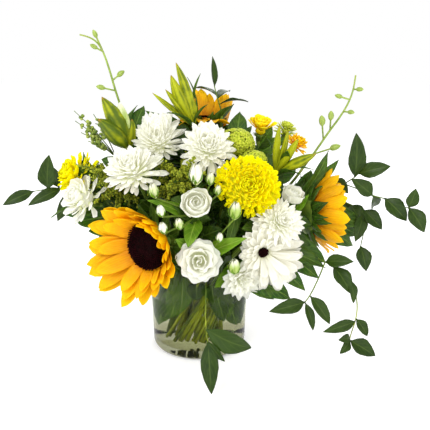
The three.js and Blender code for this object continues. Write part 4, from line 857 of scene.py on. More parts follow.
for seed, (name, (colour, kind)) in enumerate(MUMS.items()):
    skin = Skin()
    heart(skin, name, kind[2] * HEADS[name][2], 0.5 * HEADS[name][2])
    dome_petals(skin, name, 40 + seed, kind)
    skin.build(f"{name}_flower", colour, f"{name}_petals", FLAT)


def florets(skin, matrix, count, place, radius, height, draw):
    """Small pointed florets in the golden-angle spiral. place(share) gives reach and height."""
    for i in range(count):
        share = (i + 0.5) / count
        reach, level = place(share)
        angle = i * GOLDEN_ANGLE
        foot, lean = polar(angle, reach, level), polar(angle, 0.25, 1.0)
        tall = height * draw.uniform(0.75, 1.2)
        grid = pod(
            foot - lean * 0.4, foot + lean * tall,
            [(0, 0.7 * radius), (0.4, radius), (0.8, 0.7 * radius), (1, 0.05)], 5,
        )
        skin.sheet(grid, draw.random(), wrap=True, matrix=matrix)


# Each layer of the daisy's petals, from the lowest: count, the roots' reach and height, length as a share of
# the radius, slopes at the root and the tip, and width.
DAISY_LAYERS = (
    (21, 6.4, 0.6, 0.86, (0, -26), 10.5), (20, 6.2, 1.8, 0.8, (8, -16), 10), (18, 6, 3, 0.68, (18, -6), 9.5),
    (13, 5.4, 4, 0.46, (34, 8), 8),
)
# The side where the daisy's petals stand up more, and by how many degrees.
RAISED_SIDE, RAISED = unit((0.55, 0, -0.83)), 16
DAISY_EYE = ((0, 0.1), (0.05, 5.4), (0.6, 5), (1, 0.1))


def daisy_flower(name, seed):
    """Long loose petals in layers round a small dark eye."""
    draw = random.Random(seed)
    radius = HEADS[name][2]
    frame_of_head = head_frame(name)
    skin = Skin()
    for count, root, height, reach, lifts, wide in DAISY_LAYERS:
        start = draw.uniform(0, 6)
        for i in range(count):
            angle = start + 2 * math.pi * i / count + draw.uniform(-0.08, 0.08)
            out = frame_of_head[:3, :3] @ polar(angle)
            longer = 0.92 * further(name, out) + 0.1 * min(out[0], 0)
            lift = lifts[0] + RAISED * max(out @ RAISED_SIDE, 0)
            grid = petal(
                reach * radius * longer * draw.uniform(0.9, 1.06),
                wide * longer ** 0.4 * draw.uniform(0.9, 1.1),
                (lift + draw.uniform(-5, 5), lift + lifts[1] - lifts[0] + draw.uniform(-9, 9)), POINTED,
                rows=10, columns=7, cup=draw.uniform(0.1, 0.3), sway=draw.uniform(-2.5, 2.5), crease=0.6,
                ruffle=0.4, waves=1.2, phase=draw.uniform(0, 6), curl=draw.uniform(-20, 10),
            )
            skin.sheet(grid, draw.random(), matrix=frame_of_head @ turn_z(angle) @ shift(root, 0, height))
    skin.build(f"{name}_flower", "daisy", f"{name}_petals", FLAT)
    eye = Skin()
    axis = head_facing(name)
    eye.sheet(pod(head_at(name) + axis * 3, head_at(name) + axis * 8.6, DAISY_EYE, 14), 0.2, wrap=True)
    florets(eye, frame_of_head, 60, lambda share: (5.6 * math.sqrt(share), 8 - 1.6 * share), 0.75, 2.0, draw)
    eye.build(f"{name}_centre", "disc", f"{name}_eye")


daisy_flower("white_daisy", 5)

SUNFLOWERS = ("sunflower_1", "sunflower_2", "sunflower_3")
# Each layer of a sunflower's rays, from the outermost: count, the roots' reach and height, length, width, and
# how many degrees more they stand up.
RAY_LAYERS = ((18, 24, -8.6, 43, 20, 0), (17, 23.5, -7.4, 39, 18, 8), (13, 23, -6.2, 33, 15, 16))
DISC = ((0, 0.1), (0.02, 23), (0.3, 27), (0.62, 26), (0.84, 19), (0.72, 9), (0.66, 0.1))
DISC_RADIUS = 27


def near_side(angle):
    """How far a ray of sunflower_1 is on its inner side, where the rays fold forwards, 0 to 1."""
    return max(math.cos(angle - math.radians(20)), 0)


def rays_of(name, angle, draw):
    """The slopes of a sunflower's ray at an angle round its disc."""
    if name == "sunflower_1":
        near = near_side(angle)
        return 20 + 30 * near, 30 + 58 * near + draw.uniform(-8, 8)
    if name == "sunflower_2":
        return 34, 60 + draw.uniform(-10, 10)
    return 24, 38 + draw.uniform(-10, 10)


def disc_floret(share):
    """The reach and height of a disc's floret: the florets form a low ring round the disc's middle."""
    spread = math.sqrt(share)
    return DISC_RADIUS * spread, 1.8 + 2.6 * math.exp(-(((spread - 0.7) / 0.2) ** 2))


def sunflower(name, seed):
    """Rays in three layers round a broad dark disc."""
    draw = random.Random(seed)
    frame_of_head = head_frame(name)
    rays = Skin()
    for count, root, height, length, wide, more in RAY_LAYERS:
        start = draw.uniform(0, 1)
        for i in range(count):
            angle = start + 2 * math.pi * i / count + draw.uniform(-0.07, 0.07)
            low, high = rays_of(name, angle % (2 * math.pi), draw)
            out = frame_of_head[:3, :3] @ polar(angle)
            longer = further(name, out)
            if name == "sunflower_1":
                longer = longer * (1 - 0.16 * near_side(angle))
            if name == "sunflower_3":
                # The outer rays at the front hang down, and the others stand up round the disc.
                low, high = (-6, -40) if more == 0 and out[1] < -0.6 else (66 - more, 88 - more)
            grid = petal(
                length * longer * draw.uniform(0.9, 1.06), wide * longer ** 0.5 * draw.uniform(0.85, 1.1),
                (low + more, high + more), RAY, rows=12, columns=7, cup=draw.uniform(0.1, 0.3),
                sway=draw.uniform(-4, 4), crease=0.5, ruffle=0.7, waves=1.4, phase=draw.uniform(0, 6),
                curl=draw.uniform(-24, 18),
            )
            rays.sheet(grid, draw.random(), matrix=frame_of_head @ turn_z(angle) @ shift(root, 0, height))
    rays.build(f"{name}_petals", "ray", f"{name}_rays", FLAT)
    disc = Skin()
    axis = head_facing(name)
    disc.sheet(pod(head_at(name) - axis * 6, head_at(name) + axis * 6, DISC, 40), 0.2, wrap=True)
    florets(disc, frame_of_head, 520, disc_floret, 1.0, 2.4, draw)
    disc.build(f"{name}_centre", "disc", f"{name}_disc")


for seed, name in enumerate(SUNFLOWERS):
    sunflower(name, 70 + seed)


def cup_petal(height, foot, waist, rim, spread, ruffle, phase, roll, whorl, rows=13, columns=13):
    """A broad petal wrapped round the bloom's axis, one edge further in than the other."""
    t = np.linspace(0, 1, rows)[:, None]
    across = np.linspace(-1, 1, columns)[None, :]
    belly = foot + (waist - foot) * np.sin(np.clip(t / 0.45, 0, 1) * math.pi / 2)
    belly = belly + (rim - waist) * np.clip((t - 0.45) / 0.55, 0, 1) ** 2
    narrow = np.interp(t, (0, 0.15, 0.5, 0.8, 0.93, 1), (0.3, 0.62, 1, 0.98, 0.84, 0.6))
    edge = np.clip((t - 0.5) / 0.5, 0, 1) ** 2
    wave = ruffle * edge * np.sin(2.2 * math.pi * across + phase)
    radius = belly + wave + roll * edge ** 2 + whorl * across * np.clip(t / 0.3, 0, 1)
    angle = across * math.radians(spread) * narrow
    z = height * (t - 0.1 * across ** 2 * t) - 0.5 * roll * edge ** 3 + 0.5 * wave
    return np.stack([radius * np.cos(angle), radius * np.sin(angle), z + 0 * across], axis=-1)


# Rings of broad petals: count, height, waist, rim, half angle in degrees, ruffle and roll. Sizes are shares
# of the bloom's radius.
OPEN_ROSE = (
    (2, 0.86, 0.15, 0.12, 105, 0.02, 0), (2, 0.92, 0.3, 0.3, 104, 0.05, 0.03),
    (3, 0.95, 0.46, 0.52, 80, 0.05, 0.08), (3, 0.9, 0.6, 0.74, 78, 0.06, 0.13),
    (4, 0.8, 0.74, 0.9, 66, 0.06, 0.15),
)
CLOSED_ROSE = (
    (2, 1.1, 0.24, 0.1, 105, 0.01, 0), (3, 1.17, 0.46, 0.28, 90, 0.02, 0.02),
    (3, 1.2, 0.66, 0.52, 84, 0.03, 0.05), (3, 1.06, 0.82, 0.82, 76, 0.05, 0.12),
)
RUFFLED_ROSE = (
    (3, 0.7, 0.16, 0.2, 80, 0.06, 0.03), (4, 0.82, 0.36, 0.5, 60, 0.1, 0.08),
    (5, 0.82, 0.56, 0.8, 50, 0.12, 0.14), (6, 0.66, 0.74, 1.06, 42, 0.13, 0.16),
)
ROSES = {
    "lisianthus_1": OPEN_ROSE, "lisianthus_2": CLOSED_ROSE, "lisianthus_3": RUFFLED_ROSE,
    "lisianthus_4": CLOSED_ROSE, "back_lisianthus": OPEN_ROSE,
}

for seed, (name, rings) in enumerate(ROSES.items()):
    draw = random.Random(90 + seed)
    radius = HEADS[name][2]
    skin = Skin()
    heart(skin, name, 0.1 * radius, 0.6 * radius)
    for level, (count, height, waist, rim, spread, ruffle, roll) in enumerate(rings):
        start = level * 0.9 + draw.uniform(0, 0.5)
        for i in range(count):
            grid = cup_petal(
                height * radius * draw.uniform(0.94, 1.06), 0.12 * radius, waist * radius, rim * radius,
                spread, ruffle * radius, draw.uniform(0, 6), roll * radius * draw.uniform(0.5, 1.3),
                0.05 * radius,
            )
            stance = turn_z(start + 2 * math.pi * i / count + draw.uniform(-0.15, 0.15))
            aside = shift(draw.uniform(-0.04, 0.04) * radius, draw.uniform(-0.04, 0.04) * radius, 0)
            skin.sheet(grid, draw.random(), matrix=head_frame(name) @ aside @ stance)
    skin.build(f"{name}_flower", "cream", f"{name}_petals", FLAT)

# ---------------------------------------------------------------- stems, leaves and buds

BOUQUET_HEART = np.array((0, 0, 150.0))
SUNK = 0.15  # leaves root at least this share of a stretch before their line's end


def add_leaf(
    skin, line, start, tip, width, arch=24, cup=0.22, jag=0.0, shape=LEAF, tint=0.5, wave=0.04, faces=None,
):
    """A leaf from a place on a line to its tip. It looks `faces`, or away from the bouquet's heart."""
    root = on_line(line, min(start, len(line) - 1 - SUNK))
    tip = np.array(tip, float)
    chord = tip - root
    span = np.linalg.norm(chord)
    along = chord / span
    outward = faces or unit((root + tip) / 2 - BOUQUET_HEART) + (0, 0, 0.5)
    side = unit(np.cross(outward, along))
    matrix = np.eye(4)
    matrix[:3, 0], matrix[:3, 1], matrix[:3, 2], matrix[:3, 3] = along, side, np.cross(along, side), root
    bend = math.radians(arch)
    grid = petal(
        span * bend / math.sin(bend), width, (arch, -arch), shape, rows=29 if jag else 15, columns=7, cup=cup,
        crease=0.03 * width, ruffle=wave * width, waves=2.0, phase=start * 5, jag=jag,
    )
    skin.sheet(grid, tint, matrix=matrix)


def add_stem(skin, name, sides=8):
    """A plant's stem, with a tint of its own."""
    stem = STEMS[name]
    tint = 0.1 + 0.8 * (list(STEMS).index(name) * GOLDEN_ANGLE % 1)
    skin.sheet(closed_tube(smooth_line(stem["points"]), stem["radius"], sides, 0.92), tint, wrap=True)


def add_twig(skin, line, start, tip, radius):
    """A straight twig from a place on a line to its tip."""
    skin.sheet(closed_tube([on_line(line, start), np.array(tip, float)], radius, 6), 0.5, wrap=True)


def calyx(skin, name, depth=0.42, reach=0.32):
    """The green cup under a bloom, with small bracts."""
    radius = HEADS[name][2]
    profile = [(0, 0.3), (0.03, 3), (0.5, 0.2 * radius), (0.96, reach * radius), (1, 0.3)]
    skin.sheet(pod(behind(name, depth * radius), behind(name, 0.2), profile), wrap=True)
    matrix = head_frame(name)
    for i in range(12):
        grid = petal(0.3 * radius, 0.16 * radius, (40, 8), BRACT, rows=5, columns=3, cup=0.3)
        stance = matrix @ turn_z(i * math.pi / 6) @ shift(0.2 * radius, 0, -0.16 * radius)
        skin.sheet(grid, 0.3 + 0.4 * (i % 2), matrix=stance)


TOWARD_VIEWER = (0, -1, 0.5)
# Leaves on the stems: the point of the stem, the tip, the width and the way that some look.
STEM_LEAVES = {
    "sunflower_1": [(4.3, (-92, -66, 128), 34), (4.7, (-110, -62, 150), 26), (2, (-32, -52, 84), 20)],
    "sunflower_2": [
        (5, (160, -8, 256), 24), (4.3, (134, -44, 150), 30), (4.7, (176, 2, 244), 18),
        (4.3, (118, -52, 182), 22),
    ],
    "sunflower_3": [
        (4.8, (-34, 66, 282), 26), (4.8, (60, 66, 284), 26), (4.9, (44, 4, 312), 24),
        (4.8, (-64, 4, 304), 24, TOWARD_VIEWER),
    ],
    "white_mum_3": [(5, (-12, -34, 270), 14)],
    "white_mum_4": [(4.8, (50, -106, 184), 18), (4.8, (124, -84, 190), 18)],
    "white_daisy": [(4.4, (152, -64, 124), 28), (4.4, (98, -74, 104), 24)],
    "yellow_mum": [(4.8, (32, -104, 156), 14), (5, (88, -66, 206), 16)],
    "yellow_left": [(4.3, (-180, -26, 176), 20), (4.7, (-150, 30, 250), 18)],
    "lisianthus_1": [(4.9, (-22, -112, 174), 22), (4.7, (55, -114, 176), 18)],
    "lisianthus_2": [(4.7, (-8, -116, 166), 20), (4.3, (-52, -100, 214), 16)],
    "lisianthus_3": [(4.3, (20, -86, 108), 16), (4.6, (78, -78, 108), 16)],
    "lisianthus_4": [(4.8, (128, -68, 214), 12)],
    "snowball_1": [(5, (26, -50, 284), 14), (4.8, (66, -2, 286), 16)],
    "back_mum": [(4.7, (-94, 96, 214), 28), (4.5, (-20, 116, 200), 28)],
    "back_lisianthus": [(4.7, (104, 92, 200), 20), (4.3, (82, 98, 160), 22)],
}
# Leaves that close the gaps between blooms, each on the stem that passes nearest: tip, width and tint.
GAP_LEAVES = [
    ((-148, -14, 238), 24, 0.2), ((-150, -6, 196), 26, 0.1), ((-142, -10, 182), 26, 0.3),
    ((-128, -6, 176), 28, 0.1), ((-112, -20, 172), 26, 0.2), ((-118, -12, 246), 22, 0.2),
    ((-102, -16, 196), 30, 0.0), ((-122, -14, 214), 30, 0.0), ((-94, -24, 214), 30, 0.1),
    ((-84, -34, 186), 30, 0.0), ((-70, -44, 202), 26, 0.1), ((-136, 2, 220), 26, 0.4),
    ((86, -6, 254), 24, 0.5), ((104, 10, 246), 26, 0.2), ((74, -2, 262), 22, 0.5), ((122, 6, 236), 26, 0.1),
    ((132, -16, 222), 26, 0.2), ((118, -32, 212), 24, 0.0), ((98, -30, 222), 24, 0.1),
    ((112, 24, 268), 20, 0.8), ((94, 26, 282), 20, 0.8), ((44, -60, 186), 26, 0.0),
    ((30, -84, 178), 20, 0.1), ((12, -60, 190), 30, 0.0), ((134, -58, 150), 26, 0.2),
    ((152, -60, 130), 28, 0.3), ((144, -66, 112), 28, 0.1), ((128, -70, 98), 26, 0.2),
    ((110, -74, 90), 26, 0.0), ((90, -76, 90), 24, 0.3), ((140, -40, 170), 24, 0.1),
    ((134, -50, 120), 30, 0.0), ((204, 8, 172), 24, 0.3), ((200, 14, 154), 24, 0.2),
    ((190, 6, 142), 22, 0.2), ((176, 0, 136), 22, 0.4), ((140, -6, 232), 24, 0.1), ((22, -70, 206), 24, 0.1),
    ((16, -72, 178), 24, 0.0), ((30, -74, 196), 22, 0.2), ((58, -80, 120), 22, 0.1),
    ((-84, 12, 202), 32, 0.1), ((-36, 10, 174), 32, 0.1), ((206, 4, 146), 30, 0.2), ((200, 0, 132), 30, 0.3),
    ((212, 6, 160), 26, 0.3), ((52, 6, 302), 24, 0.2), ((24, 30, 194), 32, 0.2), ((12, 8, 186), 32, 0.1),
    ((-26, 18, 240), 30, 0.1), ((30, 24, 176), 30, 0.3), ((-168, -16, 180), 24, 0.2),
    ((-152, -18, 168), 26, 0.1), ((-136, -22, 158), 26, 0.3), ((-122, -28, 166), 28, 0.0),
    ((-160, -6, 190), 24, 0.1), ((-66, 4, 310), 20, 0.2), ((-90, -10, 292), 20, 0.4),
    ((-52, 0, 300), 20, 0.2), ((-108, -34, 128), 24, 0.3), ((-126, -20, 146), 26, 0.2),
    ((-60, 6, 284), 22, 0.1), ((-30, 18, 292), 22, 0.1), ((105, -20, 222), 24, 0.3),
    ((108, -14, 212), 26, 0.1), ((104, -6, 232), 24, 0.2), ((-85, 0, 186), 28, 0.1),
    ((-94, 2, 196), 28, 0.1), ((-34, -20, 164), 26, 0.1), ((-98, -26, 205), 26, 0.0),
    ((-114, -28, 200), 24, 0.1),
]
TOOTHED = ("white_daisy", "white_mum_4", "back_mum", "white_mum_3", "yellow_left")


def shows_before_a_bloom(point, wide=1.02):
    """Whether a leaf at the point would stand in a bloom or hide its face, out to a share of its radius."""
    for name, (_, _, radius) in HEADS.items():
        away = point - head_at(name)
        depth = away @ head_facing(name)
        if -6 < depth < 60 and np.linalg.norm(away - depth * head_facing(name)) < wide * radius:
            return True
    return False


def nearest_stem(point, names, lowest):
    """The stem among `names` that passes nearest a point, from its point `lowest` on, and the place on it."""
    best = (math.inf, "", 0.0)
    for name in names:
        line = stem_points(name)
        for i in range(lowest, len(line) - 1):
            stretch = line[i + 1] - line[i]
            share = min(max((point - line[i]) @ stretch / (stretch @ stretch), 0), 1)
            best = min(best, (np.linalg.norm(line[i] + stretch * share - point), name, i + share))
    return best[1], best[2]


LEAFY = (
    "sunflower_1", "sunflower_2", "sunflower_3", "white_mum_2", "white_mum_3", "white_mum_4", "white_mum_5",
    "white_daisy", "yellow_mum", "yellow_left", "yellow_top", "back_mum", "lisianthus_1", "lisianthus_2",
    "lisianthus_3", "lisianthus_4", "back_lisianthus", "snowball_1", "lily_1", "lily_2", "lily_3",
)
# How far a gap leaf's root lies from its tip, towards the bouquet's heart and then down.
GAP_LEAF_REACH, GAP_LEAF_FALL = 30, (0, 0, 8)
# How far the filling leaves' tips reach from the bouquet's axis, at heights. They reach less far to the front
# and the back, by FRONT_SHARE.
FILLED_HEIGHTS, FILLED_REACH = (112, 140, 190, 240, 276), (58, 88, 108, 94, 46)
FRONT_SHARE = 0.84
FILLED_FROM, FILLED_HEIGHT = 118, 156
SHORTEST, LONGEST = 16, 62  # filling leaves, from root to tip
# Rounds of filling leaves: their share of the reach, levels, and leaves on each level.
FILLING_ROUNDS = ((1.0, 11, 23), (0.74, 9, 16), (0.45, 7, 9), (0.22, 8, 7))
# Leaves that hang in the vase, near its wall: the root's angle, the tip's, the tip's height and the width.
VASE_LEAVES = [
    (-6, -2, 62, 34), (-14, -8, 28, 34), (-26, -20, 30, 30), (-42, -36, 50, 28), (-58, -50, 44, 26),
    (-76, -66, 74, 22), (-98, -92, 76, 24), (-110, -116, 58, 28), (-128, -134, 48, 30), (-146, -150, 42, 32),
    (-162, -168, 28, 34), (-174, -178, 32, 34), (170, 176, 38, 34), (154, 160, 54, 32), (132, 138, 36, 32),
    (108, 112, 54, 32), (84, 86, 36, 32), (60, 56, 54, 32), (38, 32, 36, 32), (16, 10, 50, 34),
    (6, 4, 34, 30), (-168, -174, 34, 28),
]
ROOT_LEVEL, ROOT_REACH, TIP_REACH = 100, 40, 47


def filling_leaves():
    """Leaves that fill the bouquet behind its blooms, by stem: the place on the stem, tip, width and tint."""
    draw = random.Random(400)
    found = {name: [] for name in LEAFY}
    for share, levels, around in FILLING_ROUNDS:
        for level in range(levels):
            for k in range(around):
                angle = 2 * math.pi * (k + 0.5 * (level % 2) + draw.uniform(-0.3, 0.3)) / around
                z = FILLED_FROM + FILLED_HEIGHT * (level + draw.uniform(0.2, 0.9)) / levels
                reach = share * np.interp(z, FILLED_HEIGHTS, FILLED_REACH) * draw.uniform(0.88, 1.06)
                tip = np.array((reach * math.cos(angle), FRONT_SHARE * reach * math.sin(angle), z))
                width, tint = draw.uniform(20, 30), draw.uniform(0, 0.7)
                inward = draw.uniform(0.5, 0.7)
                toward = np.array((tip[0] * inward, tip[1] * inward, z - draw.uniform(6, 22)))
                name, place = nearest_stem(toward, LEAFY, 1)
                root = on_line(stem_points(name), place)
                fits = SHORTEST < np.linalg.norm(tip - root) < LONGEST
                if fits and not shows_before_a_bloom(tip) and not shows_before_a_bloom((root + tip) / 2):
                    found[name].append((place, tip, width, tint, None))
    for tip, width, tint in GAP_LEAVES:
        tip = np.array(tip, float)
        toward = tip - GAP_LEAF_REACH * unit(tip - BOUQUET_HEART) - GAP_LEAF_FALL
        name, place = nearest_stem(toward, LEAFY, 2)
        found[name].append((place, tip, width, tint, TOWARD_VIEWER))
    for root_angle, tip_angle, level, width in VASE_LEAVES:
        name, place = nearest_stem(polar(math.radians(root_angle), ROOT_REACH, ROOT_LEVEL), LEAFY, 0)
        tip = polar(math.radians(tip_angle), TIP_REACH, level)
        found[name].append((place, tip, width, draw.uniform(0, 1.2), (0, tip[1] / 20 - 1.5, 0.2)))
    return found


FILLING = filling_leaves()


def inner_leaves(skin, name):
    """The filling leaves of one plant."""
    jag = 0.3 if name in TOOTHED else 0
    for place, tip, width, tint, faces in FILLING[name]:
        add_leaf(skin, stem_points(name), place, tip, width, jag=jag, tint=tint, wave=0.06, faces=faces)


def stem_leaves(skin, name, seed):
    """The leaves that are listed for one plant's stem."""
    draw = random.Random(seed)
    jag = 0.32 if name in TOOTHED else 0
    for start, tip, width, *faces in STEM_LEAVES.get(name, []):
        add_leaf(
            skin, stem_points(name), start, tip, width, jag=jag, tint=draw.random(), wave=0.05,
            faces=faces[0] if faces else None,
        )


def leaves_of(name, seed, piece_name, node):
    """A plant's placed leaves and filling leaves as one piece."""
    leaves = Skin()
    stem_leaves(leaves, name, seed)
    inner_leaves(leaves, name)
    leaves.build(piece_name, "leaf", node, LEAF_THICK)


# More blooms can stand on one stem: each bloom, where its twig leaves the stem, how far behind the bloom the
# twig ends, and its radius.
SHARED = {
    "white_mum_2": [("white_mum_1", 4.7, 6, 2.2)],
    "yellow_top": [("orange_bloom", 4.6, 5, 1.8), ("lime_bloom", 4.2, 5, 1.8)],
}
MUM_PLANTS = (
    "white_mum_2", "white_mum_3", "white_mum_4", "white_mum_5", "white_daisy", "yellow_mum", "yellow_left",
    "back_mum", "yellow_top",
)
for seed, name in enumerate(MUM_PLANTS):
    greens = Skin()
    add_stem(greens, name)
    calyx(greens, name)
    for other, start, depth, radius in SHARED.get(name, []):
        add_twig(greens, stem_points(name), start, behind(other, depth), radius)
        calyx(greens, other)
    greens.build(f"{name}_stem", "stem", f"{name}_green")
    leaves_of(name, seed, f"{name}_leaves", f"{name}_green")

lime = Skin()
heart(lime, "lime_bloom", 5, 8)
dome_petals(lime, "lime_bloom", 61, SMALL_MUM)
lime.build("lime_bloom_flower", "lime", "yellow_top_green", FLAT)

SUNFLOWER_NECK = ((0, 0.3), (0.03, 5), (0.35, 15), (0.7, 26), (0.9, 27), (1, 0.3))
# Two layers of green bracts under a sunflower: count, the roots' reach and height, length, slope at the root,
# and the share of a step by which the layer is turned.
BRACT_LAYERS = ((13, 22, -13.6, 30, -6, 0), (12, 23, -12, 27, 12, 0.5))
for seed, name in enumerate(SUNFLOWERS):
    draw = random.Random(120 + seed)
    greens, leaves = Skin(), Skin()
    add_stem(greens, name, 10)
    greens.sheet(pod(behind(name, 27), behind(name, 8.8), SUNFLOWER_NECK, 24), wrap=True)
    greens.build(f"{name}_stem", "stem", f"{name}_green")
    shorter = 0.7 if name == "sunflower_3" else 1
    for count, root, height, length, low, offset in BRACT_LAYERS:
        for i in range(count):
            grid = petal(
                length * shorter * draw.uniform(0.8, 1.15), 12 * draw.uniform(0.85, 1.15),
                (low, low + draw.uniform(14, 50)), BRACT, rows=9, columns=5, cup=0.25,
                sway=draw.uniform(-4, 4), ruffle=0.5, curl=draw.uniform(-40, 40), phase=draw.uniform(0, 6),
            )
            angle = 2 * math.pi * (i + offset) / count + draw.uniform(-0.1, 0.1)
            stance = head_frame(name) @ turn_z(angle) @ shift(root, 0, height)
            leaves.sheet(grid, draw.random(), matrix=stance)
    stem_leaves(leaves, name, 20 + seed)
    inner_leaves(leaves, name)
    leaves.build(f"{name}_leaves", "leaf", f"{name}_green", LEAF_THICK)

# Buds of the lisianthus: the stem's point that each grows from, its place, its radius and its colour.
FRONT_BUDS = [
    ("lisianthus_2", 5.3, (1, -108, 243), 8, "white"), ("lisianthus_2", 5.1, (16, -104, 238), 5, "pale"),
    ("lisianthus_2", 5.1, (24, -106, 226), 4, "pale"), ("lisianthus_2", 5.1, (-45, -100, 224), 6, "pale"),
    ("lisianthus_2", 4.9, (-36, -118, 206), 5, "white"), ("lisianthus_2", 4.9, (-17, -118, 192), 5, "pale"),
    ("lisianthus_2", 4.7, (-34, -120, 188), 5, "white"), ("lisianthus_1", 4.9, (42, -118, 206), 7, "green"),
    ("lisianthus_1", 5.1, (26, -114, 176), 4, "white"), ("lisianthus_3", 4.8, (42, -112, 142), 7, "green"),
]
BUD_TINTS = {"white": 1.0, "pale": 0.6, "green": 0.0}
BUD_RISE = np.array((0, -0.15, 0.8))
BUD_STEP, SEPAL_TURN = 1.257, 0.6  # radians between a bud's five petals, and from each to its sepal
BUD_SHAPE = ((0.04, 0.45), (0.2, 0.84), (0.45, 1), (0.7, 0.82), (0.88, 0.46), (0.97, 0.18), (1, 0.02))


def bud_profile(radius, stalk, share):
    """Radii along a stalk and the bud at its end, which starts at `share` of the way."""
    bud = [(share + (1 - share) * t, max(radius * r, stalk if t < 0.1 else 0)) for t, r in BUD_SHAPE]
    return [(0, 0.05), (0.02, stalk), (share, stalk), *bud]


def bud_tip(line, start, at, radius):
    """A bud from a place on a line towards `at`: its root, its tip and the share that is stalk."""
    root = on_line(line, start)
    toward = np.array(at, float) - root
    length = np.linalg.norm(toward) + 1.6 * radius
    return root, root + unit(toward) * length, 1 - 3.4 * radius / length


for seed, name in enumerate(ROSES):
    greens, leaves, buds, white_buds = Skin(), Skin(), Skin(), Skin()
    add_stem(greens, name)
    calyx(greens, name, 0.3, 0.34)
    for stem_name, start, at, radius, kind in FRONT_BUDS:
        if stem_name != name:
            continue
        root, at = on_line(stem_points(name), start), np.array(at, float)
        rise = unit(0.2 * unit(at - root) + BUD_RISE)
        foot, tip = at - 1.3 * radius * rise, at + 1.4 * radius * rise
        greens.sheet(closed_tube([root, foot], 1.0, 6), wrap=True)
        tint = BUD_TINTS[kind]
        profile = bud_profile(0.74 * radius, 1.2, 0.03)
        buds.sheet(pod(foot, tip - (tip - foot) * 0.08, profile, 12), tint, wrap=True)
        bud_frame = facing_frame(foot, rise)
        for i in range(5):
            grid = cup_petal(
                2.9 * radius, 0.3 * radius, 0.86 * radius, 0.3 * radius, 50, 0.05 * radius, i, 0,
                0.14 * radius, 10, 7,
            )
            petals = white_buds if kind == "white" else buds
            petals.sheet(grid, tint, matrix=bud_frame @ turn_z(i * BUD_STEP))
            grid = petal(2.2 * radius, 0.7 * radius, (26, 96), BRACT, rows=7, columns=3, cup=0.4)
            leaves.sheet(grid, 0.6, matrix=bud_frame @ turn_z(i * BUD_STEP + SEPAL_TURN) @ shift(0.5, 0, 0))
    stem_leaves(leaves, name, 40 + seed)
    filling = Skin()
    inner_leaves(filling, name)
    for skin, piece_name, look, thickness in (
        (greens, "stem", "stem", 0), (buds, "buds", "pale_bud", 0), (white_buds, "white_buds", "cream", 0),
        (leaves, "leaves", "bright_leaf", LEAF_THICK), (filling, "inner_leaves", "leaf", LEAF_THICK),
    ):
        if skin.count:
            skin.build(f"{name}_{piece_name}", look, f"{name}_green", thickness)

# ---------------------------------------------------------------- snowballs

snow_draw = random.Random(7)
snow_stem = Skin()
add_stem(snow_stem, "snowball_1")
add_twig(snow_stem, stem_points("snowball_1"), 4.6, behind("snowball_2", -4), 1.8)
snow_stem.build("snowball_stem", "stem", "snowballs")
SNOW_CORE, SNOW_STRETCH = 0.82, (1.12, 1, 0.86)
snow = Skin()
for name, count in (("snowball_1", 150), ("snowball_2", 76)):
    at, radius = head_at(name), HEADS[name][2]
    core_radius = SNOW_CORE * radius
    profile = [(t, max(core_radius * math.sin(math.pi * t), 0.05)) for t in np.linspace(0, 1, 13)]
    snow.sheet(pod(at - (0, 0, core_radius), at + (0, 0, core_radius), profile, 18), 0.0, wrap=True)
    for i in range(count):
        level = 1 - (2 * i + 1) / count
        out = polar(i * GOLDEN_ANGLE, math.sqrt(1 - level * level), level)
        out = unit(out + [snow_draw.uniform(-0.08, 0.08) for _ in range(3)])
        matrix = facing_frame(at + out * radius * snow_draw.uniform(0.84, 0.97) * SNOW_STRETCH, out)
        for k in range(5):
            grid = petal(3.6, 3.2, (20, -24), STRAP, rows=4, columns=3, cup=0.3)
            stance = matrix @ turn_z(k * 2 * math.pi / 5 + i) @ shift(0.3, 0, 0.2)
            snow.sheet(grid, snow_draw.random(), matrix=stance)
snow.build("snowball_florets", "lime", "snowballs", FLORET_THICK)
leaves_of("snowball_1", 60, "snowball_leaves", "snowballs")

# ---------------------------------------------------------------- trailing sprays

